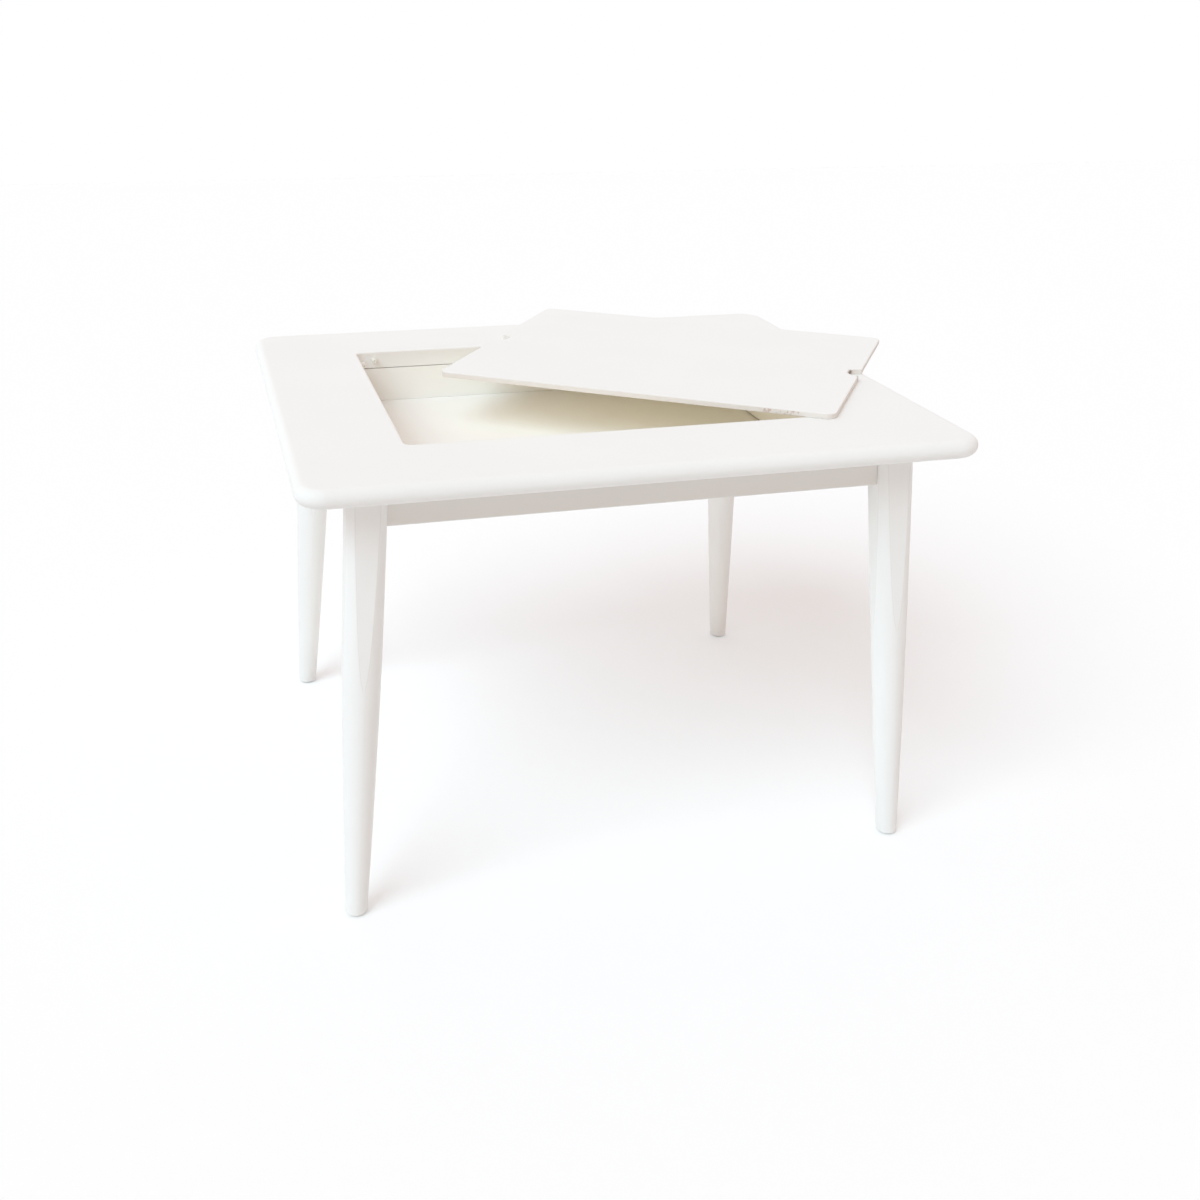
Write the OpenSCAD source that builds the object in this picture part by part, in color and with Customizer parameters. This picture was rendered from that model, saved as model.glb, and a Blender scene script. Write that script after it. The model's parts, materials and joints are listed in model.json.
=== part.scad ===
// Low play table with a storage box under a loose lid.
// Origin: middle of the table on the floor. X runs along the width, Y to the back, Z up.
// The lid lies askew on the top, with the storage box half open.

/* [Table top] */
// Width of the table top, left to right
top_w = 710; // [630:1:900]
// Depth of the table top, front to back
top_d = 620; // [550:1:800]
// Height of the table
table_h = 500; // [420:1:600]
// Thickness of the table top, whose edge is a full round
top_t = 20; // [16:0.5:26]
// Radius of the top's corners, seen from above
top_corner_r = 30; // [20:1:60]

/* [Opening] */
// Radius of the opening's corners
opening_r = 8; // [4:0.5:12]
// Bevel on the opening's upper arris
opening_ease = 1.5; // [0.5:0.1:2.5]

/* [Lid] */
// Thickness of the lid
lid_t = 6; // [4:0.5:9]
// Gap between the lid and the opening on each side, when the lid is in place
lid_gap = 1.5; // [0.8:0.1:3]
// Radius of the lid's corners
lid_corner_r = 12; // [9:0.5:30]
// Bevel on the lid's arrises
lid_ease = 1; // [0.3:0.1:1.8]
// Radius of the finger notch in the middle of each short side
notch_r = 15; // [10:0.5:20]
// Where the lid's middle lies to the right of the table's middle
lid_x = 145; // [-100:1:150]
// Where the lid's middle lies behind the table's middle
lid_y = 79; // [-60:1:90]
// How far the lid is turned on the top, in degrees
lid_turn = -35; // [-90:1:90]

/* [Lid pegs] */
// Diameter of a peg that carries the lid
peg_d = 7; // [5:0.5:9]
// How far a peg stands out of the opening's face
peg_out = 8; // [5:0.5:12]
// Distance from the opening's corner to a peg
peg_corner = 22; // [18:1:60]
// Diameter of a peg's spigot in the wood
peg_spigot_d = 5; // [3:0.5:6]
// Depth of the spigot's bore
peg_bore = 10; // [6:0.5:16]

/* [Legs] */
// Distance from the table's edge to a leg's axis, under the top
leg_inset = 73; // [60:1:85]
// Lean of a leg outwards, seen from the front and from the side, in degrees
leg_splay = 4.7; // [0:0.1:8]
// Diameter of a leg at its shoulder
leg_top_d = 48; // [44:0.5:54]
// Diameter of a leg at its foot
leg_foot_d = 24; // [21.5:0.5:32]
// Width of a leg's square shoulder across its flats
leg_flat_w = 40; // [37:0.5:43]
// Swell of a leg's side between foot and shoulder
leg_belly = 1.3; // [0:0.1:2.5]
// Bevel round the foot
foot_ease = 1.5; // [0.5:0.1:3]
// Diameter of the glide under a foot
glide_d = 18; // [14:0.5:19]
// Thickness of the glide under a foot
glide_t = 2; // [1.5:0.1:4]

/* [Aprons] */
// Height of an apron
apron_h = 43; // [40:1:70]
// Thickness of an apron
apron_t = 18; // [15:0.5:20]
// How far an apron's face lies behind the leg's flat, under the top
apron_setback = 8; // [5:0.5:10]
// Bevel on an apron's lower arrises
apron_ease = 1.5; // [0.5:0.1:3]

/* [Storage box] */
// Clear space between an apron and the box, on all four sides
box_gap = 29; // [25:1:60]
// Height of the box walls
box_h = 43; // [35:1:90]
// Thickness of the box walls
box_wall_t = 12; // [10:0.5:14]
// Thickness of the bottom panel
box_floor_t = 4; // [3:0.5:8]
// Height of the shadow groove over the box walls
shadow_h = 2; // [1:0.1:3]
// Depth of the shadow groove
shadow_in = 5; // [2:0.5:7]

/* [Corner plates and bolts] */
// Thickness of a corner plate
plate_t = 2; // [1.5:0.1:2.5]
// Height of a corner plate
plate_h = 36; // [30:1:39]
// Length of a corner plate's flange along the apron
flange_l = 20; // [16:1:26]
// Gap between a corner plate and the leg
plate_gap = 3; // [1:0.5:4]
// Diameter of a leg bolt
bolt_d = 8; // [6:1:8]
// Depth of the bolt behind the leg's axis
bolt_in = 10; // [4:1:14]
// Length of bolt that shows past its nut
bolt_tip = 2.5; // [1:0.5:4]
// Width of the nut across its flats
nut_w = 13; // [10:1:14]
// Height of the nut
nut_h = 6.5; // [5:0.5:7]
// Diameter of the washer
washer_d = 16; // [12:1:18]
// Thickness of the washer
washer_t = 1.6; // [1:0.1:2]

/* [Angle brackets] */
// Length of each side of an angle bracket
bracket_side = 16; // [14:1:20]
// Width of an angle bracket
bracket_w = 18; // [14:1:26]
// Thickness of an angle bracket
bracket_t = 2; // [1.5:0.1:3]
// Distance of an apron's brackets from its middle, front and back
apron_bracket_x = 170; // [135:1:190]
// Distance of an apron's brackets from its middle, left and right
apron_bracket_y = 125; // [95:1:140]
// Distance of a box wall's brackets from its middle, front and back
box_bracket_x = 100; // [60:1:110]
// Distance of a box wall's brackets from its middle, left and right
box_bracket_y = 60; // [40:1:75]

/* [Screws] */
// Diameter of the brackets' and corner plates' screws
screw_d = 3.5; // [3:0.1:4]
// Length of the brackets' and corner plates' screws
screw_l = 12; // [10:0.5:12]
// Diameter of a round screw head
head_d = 7; // [6:0.1:8]
// Height of a round screw head
head_h = 2.2; // [1.5:0.1:3]
// Diameter of the countersunk screws in the storage box
csk_screw_d = 3; // [2.5:0.1:3.5]
// Diameter of a countersunk head
csk_head_d = 6; // [5:0.1:7]
// Length of the screws through the box corners
corner_screw_l = 30; // [22:1:40]
// Length of the screws through the bottom panel
floor_screw_l = 16; // [12:1:25]
// Distance of the bottom panel's outer screws from the middle, front and back
floor_screw_x = 160; // [90:1:165]
// Distance of the bottom panel's screws from the middle, left and right
floor_screw_y = 100; // [50:1:120]

/* [Hidden] */
$fn = 64;

// Colours
paint = "#F4F3F1";
paint_inside = "#EDEBE4";
nylon = "#F2F1EC";
zinc = "#B9BBBE";

// Fit gaps
shank_gap = 0.1;  // round a screw, spigot or nail in its bore
bolt_gap = 0.5;   // round a bolt in its plate and washer
nut_gap = 0.1;    // round a bolt in its nut
end_gap = 0.5;    // past the end of a peg's spigot
over = 1;         // how far a cut runs past the face that it opens

// Levels
underside = table_h - top_t;
apron_z = underside - apron_h;
box_z = underside - box_h;
box_floor_z = box_z - box_floor_t;
bolt_z = apron_z + apron_h / 2;
peg_z = table_h - lid_t - peg_d / 2;

// Legs: the two leans add up to one tilt towards the corner
leg_x = top_w / 2 - leg_inset;
leg_y = top_d / 2 - leg_inset;
leg_drop = underside - glide_t;
leg_tilt = atan(sqrt(2) * tan(leg_splay));
leg_l = leg_drop / cos(leg_tilt);
leg_spare = 6;    // extra length at both ends, which the level cuts take off
leg_steps = 24;
foot_out = leg_drop * tan(leg_splay);
nail_d = 2.4;
nail_l = 12;

// Aprons, and the storage box that hangs between them
apron_in_x = leg_x + leg_flat_w / 2 - apron_setback - apron_t;
apron_in_y = leg_y + leg_flat_w / 2 - apron_setback - apron_t;
box_out_x = apron_in_x - box_gap;
box_out_y = apron_in_y - box_gap;
box_in_x = box_out_x - box_wall_t;
box_in_y = box_out_y - box_wall_t;
corner_screw_end = 12;    // from a wall's upper and lower edge to its corner screws
corner_screw_z = [corner_screw_end, box_h - corner_screw_end];
csk_h = csk_head_d / 2 - csk_screw_d / 2;

// Table top, with its opening over the box, and the lid that fits the opening
edge_r = top_t / 2;
opening_w = 2 * box_in_x;
opening_d = 2 * box_in_y;
lid_w = opening_w - 2 * lid_gap;
lid_d = opening_d - 2 * lid_gap;
peg_bevel = 0.8;
spigot_l = peg_bore - end_gap;

// Corner plates: distances run along the diagonal, from the leg's axis to the table's middle
plate_from = leg_top_d / 2 / cos(leg_tilt) + plate_gap;
washer_from = plate_from + plate_t;
nut_from = washer_from + washer_t;
bolt_to = nut_from + nut_h + bolt_tip;
plate_screw_rise = 11;

// Screws in the angle brackets
bracket_end = 6;      // from the end of a bracket's side to its screw
bracket_hole = bracket_side - bracket_end;
head_draw = 1;        // how far a round head draws in towards its crown

// ---------- placing ----------

// Draws its children, made for the back right corner, in one corner
module corner(sx, sy) {
    mirror([sx < 0 ? 1 : 0, 0, 0])
        mirror([0, sy < 0 ? 1 : 0, 0])
            children();
}

module every_corner() {
    for (sx = [-1, 1])
        for (sy = [-1, 1])
            corner(sx, sy) children();
}

// Turns up to the right, and up to the back
module to_right() rotate([0, 90, 0]) children();
module to_back() rotate([-90, 0, 0]) children();
module to_front() rotate([90, 0, 0]) children();

// ---------- screws and their bores ----------

// Round-headed screw, head below z = 0 and shank above
module round_screw(l) {
    cylinder(h = l, d = screw_d);
    translate([0, 0, -head_h])
        cylinder(h = head_h, d1 = head_d - 2 * head_draw, d2 = head_d);
}

module screw_bore(l) {
    translate([0, 0, -over])
        cylinder(h = l + shank_gap + over, d = screw_d + 2 * shank_gap);
}

// Countersunk screw, its head flush with z = 0
module csk_screw(l) {
    cylinder(h = l, d = csk_screw_d);
    cylinder(h = csk_h, d1 = csk_head_d, d2 = csk_screw_d);
}

module csk_bore(l) {
    grow = 2 * shank_gap;
    cylinder(h = l + shank_gap, d = csk_screw_d + grow);
    translate([0, 0, -over])
        cylinder(h = csk_h + over, d1 = csk_head_d + grow + 2 * over, d2 = csk_screw_d + grow);
}

// ---------- rounded slabs ----------

// Upright slab with rounded corners
module slab(w, d, h, r) {
    translate([-w / 2 + r, -d / 2, 0]) cube([w - 2 * r, d, h]);
    translate([-w / 2, -d / 2 + r, 0]) cube([w, d - 2 * r, h]);
    every_corner()
        translate([w / 2 - r, d / 2 - r, 0]) cylinder(h = h, r = r);
}

// Slab that widens by its own height, so that its sides slope at 45 degrees
module flare(w, d, h, r) {
    translate([-w / 2 + r, 0, 0])
        rotate([90, 0, 90])
            linear_extrude(w - 2 * r)
                polygon([[-d / 2, 0], [d / 2, 0], [d / 2 + h, h], [-d / 2 - h, h]]);
    translate([0, d / 2 - r, 0])
        to_front()
            linear_extrude(d - 2 * r)
                polygon([[-w / 2, 0], [w / 2, 0], [w / 2 + h, h], [-w / 2 - h, h]]);
    every_corner()
        translate([w / 2 - r, d / 2 - r, 0]) cylinder(h = h, r1 = r, r2 = r + h);
}

// ---------- table top ----------

// Section through the full-round edge, out to x = run
module edge_section(run) {
    square([run - edge_r, top_t]);
    translate([run - edge_r, edge_r])
        intersection() {
            circle(r = edge_r);
            translate([0, -edge_r]) square([edge_r, top_t]);
        }
}

module rounded_top() {
    run_x = top_w - 2 * top_corner_r;
    run_y = top_d - 2 * top_corner_r;
    translate([-run_x / 2, -run_y / 2, 0]) cube([run_x, run_y, top_t]);
    for (s = [0, 1]) {
        mirror([0, s, 0])
            translate([-run_x / 2, run_y / 2, 0])
                rotate([90, 0, 90]) linear_extrude(run_x) edge_section(top_corner_r);
        mirror([s, 0, 0])
            translate([run_x / 2, run_y / 2, 0])
                to_front() linear_extrude(run_y) edge_section(top_corner_r);
    }
    every_corner()
        translate([run_x / 2, run_y / 2, 0])
            rotate_extrude(angle = 90) edge_section(top_corner_r);
}

module opening_cut() {
    translate([0, 0, -over])
        slab(opening_w, opening_d, top_t + 2 * over, opening_r);
    translate([0, 0, top_t - opening_ease])
        flare(opening_w, opening_d, opening_ease + over, opening_r);
}

module table_top() {
    color(paint)
        difference() {
            translate([0, 0, underside]) {
                difference() {
                    rounded_top();
                    opening_cut();
                }
            }
            peg_places()
                translate([0, 0, -over])
                    cylinder(h = peg_bore + over, d = peg_spigot_d + 2 * shank_gap);
            every_bracket()
                upright_screw_place() screw_bore(screw_l);
        }
}

// ---------- lid and its pegs ----------

module lid_blank() {
    inset = 2 * lid_ease;
    flare(lid_w - inset, lid_d - inset, lid_ease, lid_corner_r - lid_ease);
    translate([0, 0, lid_ease])
        slab(lid_w, lid_d, lid_t - inset, lid_corner_r);
    translate([0, 0, lid_t])
        mirror([0, 0, 1])
            flare(lid_w - inset, lid_d - inset, lid_ease, lid_corner_r - lid_ease);
}

// Half-round notch with its arrises bevelled like the lid's
module notch_cut() {
    translate([0, 0, -over])
        cylinder(h = lid_t + 2 * over, r = notch_r);
    for (s = [-1, 1])
        translate([0, 0, lid_t / 2])
            mirror([0, 0, s < 0 ? 1 : 0])
                translate([0, 0, lid_t / 2 - lid_ease])
                    cylinder(h = lid_ease + over, r1 = notch_r, r2 = notch_r + lid_ease + over);
}

module lid() {
    color(paint)
        translate([lid_x, lid_y, table_h])
            rotate([0, 0, lid_turn])
                difference() {
                    lid_blank();
                    for (s = [-1, 1])
                        translate([s * lid_w / 2, 0, 0]) notch_cut();
                }
}

// Two pegs in each corner of the opening; up runs into the wood
module peg_places() {
    every_corner() {
        translate([box_in_x - peg_corner, box_in_y, peg_z]) to_back() children();
        translate([box_in_x, box_in_y - peg_corner, peg_z]) to_right() children();
    }
}

module lid_pegs() {
    color(nylon)
        peg_places() {
            cylinder(h = spigot_l, d = peg_spigot_d);
            translate([0, 0, peg_bevel - peg_out])
                cylinder(h = peg_out - peg_bevel, d = peg_d);
            translate([0, 0, -peg_out])
                cylinder(h = peg_bevel, d1 = peg_d - 2 * peg_bevel, d2 = peg_d);
        }
}

// ---------- legs ----------

// Radius of a leg at a share t of its length above the foot
function leg_r(t) =
    leg_foot_d / 2 + (leg_top_d - leg_foot_d) / 2 * t + 4 * leg_belly * t * (1 - t);

// Puts its children on a leg's tilted axis: z = 0 at the underside of the top, the foot below
module on_leg_axis() {
    translate([leg_x, leg_y, underside])
        rotate(a = leg_tilt, v = [1, -1, 0])
            children();
}

module leg_square() {
    on_leg_axis()
        translate([-leg_flat_w / 2, -leg_flat_w / 2, -leg_l - leg_spare])
            cube([leg_flat_w, leg_flat_w, leg_l + 2 * leg_spare]);
}

module leg_turned() {
    low = -leg_l - leg_spare;
    high = leg_spare;
    side = [
        for (i = [0 : leg_steps])
            let (z = low + (high - low) * i / leg_steps)
                [leg_r((z + leg_l) / leg_l), z]
    ];
    on_leg_axis()
        rotate_extrude()
            polygon(concat([[0, low]], side, [[0, high]]));
}

// Level cuts at the shoulder and the foot, with the bevel round the foot
module leg_ends() {
    foot_r = leg_foot_d / 2 - foot_ease;
    translate([leg_x + foot_out, leg_y + foot_out, glide_t])
        cylinder(h = leg_drop, r1 = foot_r, r2 = foot_r + leg_drop);
}

module leg() {
    color(paint)
        difference() {
            intersection() {
                leg_turned();
                leg_square();
                leg_ends();
            }
            on_bolt_axis()
                translate([0, 0, -bolt_in - shank_gap])
                    cylinder(h = plate_from + bolt_in, d = bolt_d + 2 * shank_gap);
            under_foot()
                translate([0, 0, -over])
                    cylinder(h = nail_l + shank_gap + over, d = nail_d + 2 * shank_gap);
        }
}

module under_foot() {
    translate([leg_x + foot_out, leg_y + foot_out, glide_t]) children();
}

module leg_front_left() corner(-1, -1) leg();
module leg_front_right() corner(1, -1) leg();
module leg_back_left() corner(-1, 1) leg();
module leg_back_right() corner(1, 1) leg();

module foot_glides() {
    color(nylon)
        every_corner()
            under_foot() {
                translate([0, 0, -glide_t]) cylinder(h = glide_t, d = glide_d);
                cylinder(h = nail_l, d = nail_d);
            }
}

// ---------- aprons ----------

// Section of an apron: x = 0 is its inner face, z runs up as y
module apron_section() {
    polygon([
        [apron_ease, 0], [apron_t - apron_ease, 0], [apron_t, apron_ease],
        [apron_t, apron_h], [0, apron_h], [0, apron_ease]
    ]);
}

// Cuts a board back to the legs' flats and bores it for its screws
module fitted_apron() {
    color(paint)
        difference() {
            children();
            every_corner() leg_square();
            apron_bracket_places() level_screw_place() screw_bore(screw_l);
            every_corner() plate_screw_places() screw_bore(screw_l);
        }
}

module long_apron() {
    fitted_apron()
        translate([-leg_x, apron_in_y, apron_z])
            rotate([90, 0, 90]) linear_extrude(2 * leg_x) apron_section();
}

module short_apron() {
    fitted_apron()
        translate([apron_in_x, leg_y, apron_z])
            to_front() linear_extrude(2 * leg_y) apron_section();
}

module apron_front() corner(1, -1) long_apron();
module apron_back() long_apron();
module apron_left() corner(-1, 1) short_apron();
module apron_right() short_apron();

// ---------- storage box ----------

// Section of a box wall with the shadow groove along its inner upper edge
module wall_section() {
    polygon([
        [0, 0], [box_wall_t, 0], [box_wall_t, box_h], [shadow_in, box_h],
        [shadow_in, box_h - shadow_h], [0, box_h - shadow_h]
    ]);
}

module bored_wall() {
    color(paint_inside)
        difference() {
            children();
            corner_screw_places() csk_bore(corner_screw_l);
            floor_screw_places() csk_bore(floor_screw_l);
            box_bracket_places() level_screw_place() screw_bore(screw_l);
        }
}

module long_wall() {
    bored_wall()
        translate([-box_out_x, box_in_y, box_z])
            rotate([90, 0, 90]) linear_extrude(2 * box_out_x) wall_section();
}

module short_wall() {
    bored_wall()
        translate([box_in_x, box_in_y, box_z])
            to_front() linear_extrude(2 * box_in_y) wall_section();
}

module box_wall_front() corner(1, -1) long_wall();
module box_wall_back() long_wall();
module box_wall_left() corner(-1, 1) short_wall();
module box_wall_right() short_wall();

module box_floor() {
    color(paint_inside)
        difference() {
            translate([-box_out_x, -box_out_y, box_floor_z])
                cube([2 * box_out_x, 2 * box_out_y, box_floor_t]);
            floor_screw_places() csk_bore(floor_screw_l);
        }
}

// Through the front and back walls into the ends of the side walls
module corner_screw_places() {
    every_corner()
        for (z = corner_screw_z)
            translate([box_in_x + box_wall_t / 2, box_out_y, box_z + z])
                to_front() children();
}

module floor_screw_places() {
    for (s = [-1, 1]) {
        for (x = [-floor_screw_x, 0, floor_screw_x])
            translate([x, s * (box_in_y + box_wall_t / 2), box_floor_z]) children();
        for (y = [-floor_screw_y, floor_screw_y])
            translate([s * (box_in_x + box_wall_t / 2), y, box_floor_z]) children();
    }
}

module box_corner_screws() {
    color(zinc) corner_screw_places() csk_screw(corner_screw_l);
}

module box_floor_screws() {
    color(zinc) floor_screw_places() csk_screw(floor_screw_l);
}

// ---------- corner plates and leg bolts ----------

// Puts its children on a leg bolt: z = 0 at the leg's axis, z up towards the table's middle
module on_bolt_axis() {
    translate([leg_x, leg_y, bolt_z])
        rotate([0, 0, 45])
            rotate([0, -90, 0])
                children();
}

// Sum of x and y along a line square to the diagonal, at a distance from the leg's axis
function diagonal_sum(from) = leg_x + leg_y - sqrt(2) * from;

// Plate across the corner, with a flange flat against each apron
module corner_plate() {
    outer = diagonal_sum(plate_from);
    inner = diagonal_sum(washer_from);
    x_in = apron_in_x - plate_t;
    y_in = apron_in_y - plate_t;
    x_end = outer - apron_in_y - flange_l;
    y_end = outer - apron_in_x - flange_l;
    color(zinc)
        difference() {
            translate([0, 0, bolt_z - plate_h / 2])
                linear_extrude(plate_h)
                    polygon([
                        [apron_in_x, y_end], [apron_in_x, outer - apron_in_x],
                        [outer - apron_in_y, apron_in_y], [x_end, apron_in_y],
                        [x_end, y_in], [inner - y_in, y_in],
                        [x_in, inner - x_in], [x_in, y_end]
                    ]);
            on_bolt_axis()
                translate([0, 0, plate_from - over])
                    cylinder(h = plate_t + 2 * over, d = bolt_d + 2 * bolt_gap);
            plate_screw_places() screw_bore(screw_l);
        }
}

// Two screws in each flange; up runs into the apron
module plate_screw_places() {
    x_flange = diagonal_sum(plate_from) - apron_in_y - flange_l / 2;
    y_flange = diagonal_sum(plate_from) - apron_in_x - flange_l / 2;
    for (rise = [-plate_screw_rise, plate_screw_rise]) {
        translate([apron_in_x - plate_t, y_flange, bolt_z + rise]) to_right() children();
        translate([x_flange, apron_in_y - plate_t, bolt_z + rise]) to_back() children();
    }
}

module corner_plate_front_left() corner(-1, -1) corner_plate();
module corner_plate_front_right() corner(1, -1) corner_plate();
module corner_plate_back_left() corner(-1, 1) corner_plate();
module corner_plate_back_right() corner(1, 1) corner_plate();

module corner_plate_screws() {
    color(zinc) every_corner() plate_screw_places() round_screw(screw_l);
}

module leg_bolts() {
    color(zinc)
        every_corner()
            on_bolt_axis()
                translate([0, 0, -bolt_in])
                    cylinder(h = bolt_in + bolt_to, d = bolt_d);
}

module leg_washers() {
    color(zinc)
        every_corner()
            on_bolt_axis()
                translate([0, 0, washer_from])
                    difference() {
                        cylinder(h = washer_t, d = washer_d);
                        translate([0, 0, -over])
                            cylinder(h = washer_t + 2 * over, d = bolt_d + 2 * bolt_gap);
                    }
}

module leg_nuts() {
    color(zinc)
        every_corner()
            on_bolt_axis()
                translate([0, 0, nut_from])
                    difference() {
                        cylinder(h = nut_h, d = nut_w / cos(30), $fn = 6);
                        translate([0, 0, -over])
                            cylinder(h = nut_h + 2 * over, d = bolt_d + 2 * nut_gap);
                    }
}

// ---------- angle brackets ----------

// Puts its children where a panel's face meets the underside of the top:
// x runs away from the panel and z up into the top
module apron_bracket_places() {
    for (s = [-1, 1])
        for (side = [-1, 1]) {
            translate([s * apron_bracket_x, side * apron_in_y, underside])
                rotate([0, 0, -90 * side]) children();
            translate([side * apron_in_x, s * apron_bracket_y, underside])
                rotate([0, 0, side > 0 ? 180 : 0]) children();
        }
}

module box_bracket_places() {
    for (s = [-1, 1])
        for (side = [-1, 1]) {
            translate([s * box_bracket_x, side * box_out_y, underside])
                rotate([0, 0, 90 * side]) children();
            translate([side * box_out_x, s * box_bracket_y, underside])
                rotate([0, 0, side > 0 ? 0 : 180]) children();
        }
}

module every_bracket() {
    apron_bracket_places() children();
    box_bracket_places() children();
}

// The bracket's two screws: one up into the top, one level into the panel
module upright_screw_place() {
    translate([bracket_hole, 0, -bracket_t]) children();
}

module level_screw_place() {
    translate([bracket_t, 0, -bracket_hole]) rotate([0, -90, 0]) children();
}

module angle_bracket() {
    difference() {
        translate([0, bracket_w / 2, 0])
            to_front()
                linear_extrude(bracket_w)
                    polygon([
                        [0, 0], [bracket_side, 0], [bracket_side, -bracket_t],
                        [bracket_t, -bracket_t], [bracket_t, -bracket_side], [0, -bracket_side]
                    ]);
        upright_screw_place() screw_bore(screw_l);
        level_screw_place() screw_bore(screw_l);
    }
}

module apron_brackets() {
    color(zinc) apron_bracket_places() angle_bracket();
}

module box_brackets() {
    color(zinc) box_bracket_places() angle_bracket();
}

module bracket_screws() {
    color(zinc)
        every_bracket() {
            upright_screw_place() round_screw(screw_l);
            level_screw_place() round_screw(screw_l);
        }
}

table_top();
lid();
lid_pegs();
apron_front();
apron_back();
apron_left();
apron_right();
leg_front_left();
leg_front_right();
leg_back_left();
leg_back_right();
foot_glides();
box_wall_front();
box_wall_back();
box_wall_left();
box_wall_right();
box_floor();
box_corner_screws();
box_floor_screws();
corner_plate_front_left();
corner_plate_front_right();
corner_plate_back_left();
corner_plate_back_right();
corner_plate_screws();
leg_bolts();
leg_washers();
leg_nuts();
apron_brackets();
box_brackets();
bracket_screws();
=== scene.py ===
# Looks of a low white play table with a storage box under a loose lid.
import json
import math

import bmesh
import bpy
from bpy.props import FloatProperty, FloatVectorProperty, PointerProperty
from mathutils import Matrix, Vector


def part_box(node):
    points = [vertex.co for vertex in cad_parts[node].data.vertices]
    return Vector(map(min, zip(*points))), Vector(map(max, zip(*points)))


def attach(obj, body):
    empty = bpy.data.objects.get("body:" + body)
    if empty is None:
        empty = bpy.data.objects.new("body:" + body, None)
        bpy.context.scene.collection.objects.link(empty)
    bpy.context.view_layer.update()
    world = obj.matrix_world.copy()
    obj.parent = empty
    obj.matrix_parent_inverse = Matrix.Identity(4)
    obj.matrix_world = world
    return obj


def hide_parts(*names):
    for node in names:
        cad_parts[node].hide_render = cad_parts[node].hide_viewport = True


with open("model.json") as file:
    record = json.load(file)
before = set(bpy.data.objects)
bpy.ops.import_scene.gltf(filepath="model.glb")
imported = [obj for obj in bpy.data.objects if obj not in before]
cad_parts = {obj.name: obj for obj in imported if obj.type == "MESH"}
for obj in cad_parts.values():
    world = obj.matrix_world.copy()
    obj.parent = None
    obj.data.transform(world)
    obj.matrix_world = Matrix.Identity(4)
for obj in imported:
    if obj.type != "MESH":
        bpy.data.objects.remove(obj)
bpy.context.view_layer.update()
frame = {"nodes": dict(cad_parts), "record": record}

bl_info = {
    "name": "Play table",
    "version": (1, 0, 0),
    "blender": (4, 5, 0),
    "location": "3D View > Sidebar > Play table",
    "description": "Dresses the packed play table in its painted, moulded and plated finishes",
    "category": "Add Mesh",
}

MM = 0.001
FULL_TURN = 2 * math.pi
QUARTER_TURN = FULL_TURN / 4

# Steps over each round, which set how finely it is drawn
CORNER_STEPS = 16
BULLNOSE_STEPS = 24
UPPER_ARRIS_STEPS = 8
LOWER_ARRIS_STEPS = 4
LID_CORNER_STEPS = 12
LID_NOTCH_STEPS = 24
LID_MOUTH_STEPS = 6
LID_ARRIS_STEPS = 6
LEG_FLAT_STEPS = 6
LEG_ARC_STEPS = 12
LEG_RISE_STEPS = 60
LEG_FOOT_STEPS = 4
BEVEL_STEPS = 4
BEND_STEPS = 6
THREAD_STEPS = 5

# Width of the flat band beside an arris, which keeps the shading of the flat face even
TOP_BAND = 1 * MM
LID_BAND = 0.4 * MM

# Angle over which an edge shades sharp, and angle over which a board's edge gets an arris
BOARD_EDGE = math.radians(50)
LEG_EDGE = math.radians(9)
SCREW_EDGE = math.radians(40)
NUT_EDGE = math.radians(25)
ARRIS_EDGE = math.radians(40)

# Two lengths in metres, or two angles, that differ by less than this are the same
SAME_LENGTH = 1e-6
SAME_ANGLE = 1e-9


# ---------- what the frame gives ----------

def frame_sizes():
    """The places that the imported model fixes, in metres."""
    top_low, top_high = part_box("table_top")
    lid_low, lid_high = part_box("lid")
    wall_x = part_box("box_wall_right")[0].x
    wall_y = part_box("box_wall_back")[0].y
    foot = next(m["pos_m"] for m in frame["record"]["mounts"] if m["name"] == "foot_back_right")
    return {
        "top_low": top_low,
        "top_high": top_high,
        "opening": Vector((2 * wall_x, 2 * wall_y)),
        "lid_middle": (lid_low + lid_high) / 2,
        "lid_low": lid_low.z,
        "lid_high": lid_high.z,
        "foot": Vector(foot),
        "leg_low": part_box("leg_back_right")[0].z,
    }


PLACES = frame_sizes()
UNDERSIDE = PLACES["top_low"].z
TOP_LEVEL = PLACES["top_high"].z


# ---------- colours ----------

def linear(hex_colour):
    """Turns an sRGB hex value into the linear colour that Blender works in."""
    levels = [int(hex_colour[i:i + 2], 16) / 255 for i in (1, 3, 5)]
    return [c / 12.92 if c <= 0.04045 else ((c + 0.055) / 1.055) ** 2.4 for c in levels]


# ---------- sizes and colours that a user would change ----------

def length(name, description, default):
    """A length property with the default given in metres."""
    return FloatProperty(name=name, description=description, default=default, min=0, unit="LENGTH")


def colour(name, description, hex_colour):
    """A colour property with the default given as an sRGB hex value."""
    return FloatVectorProperty(
        name=name, description=description, default=linear(hex_colour), subtype="COLOR", min=0, max=1)


class TopSizes(bpy.types.PropertyGroup):
    """Sizes of the table top."""
    corner_radius: length("Corner radius", "Radius of the top's corners, seen from above", 30 * MM)
    opening_radius: length("Opening radius", "Radius of the opening's corners", 8 * MM)
    upper_arris: length("Upper arris", "Rounding of the opening's upper arris", 1.5 * MM)
    lower_arris: length("Lower arris", "Rounding of the opening's lower arris", 0.5 * MM)


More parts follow.
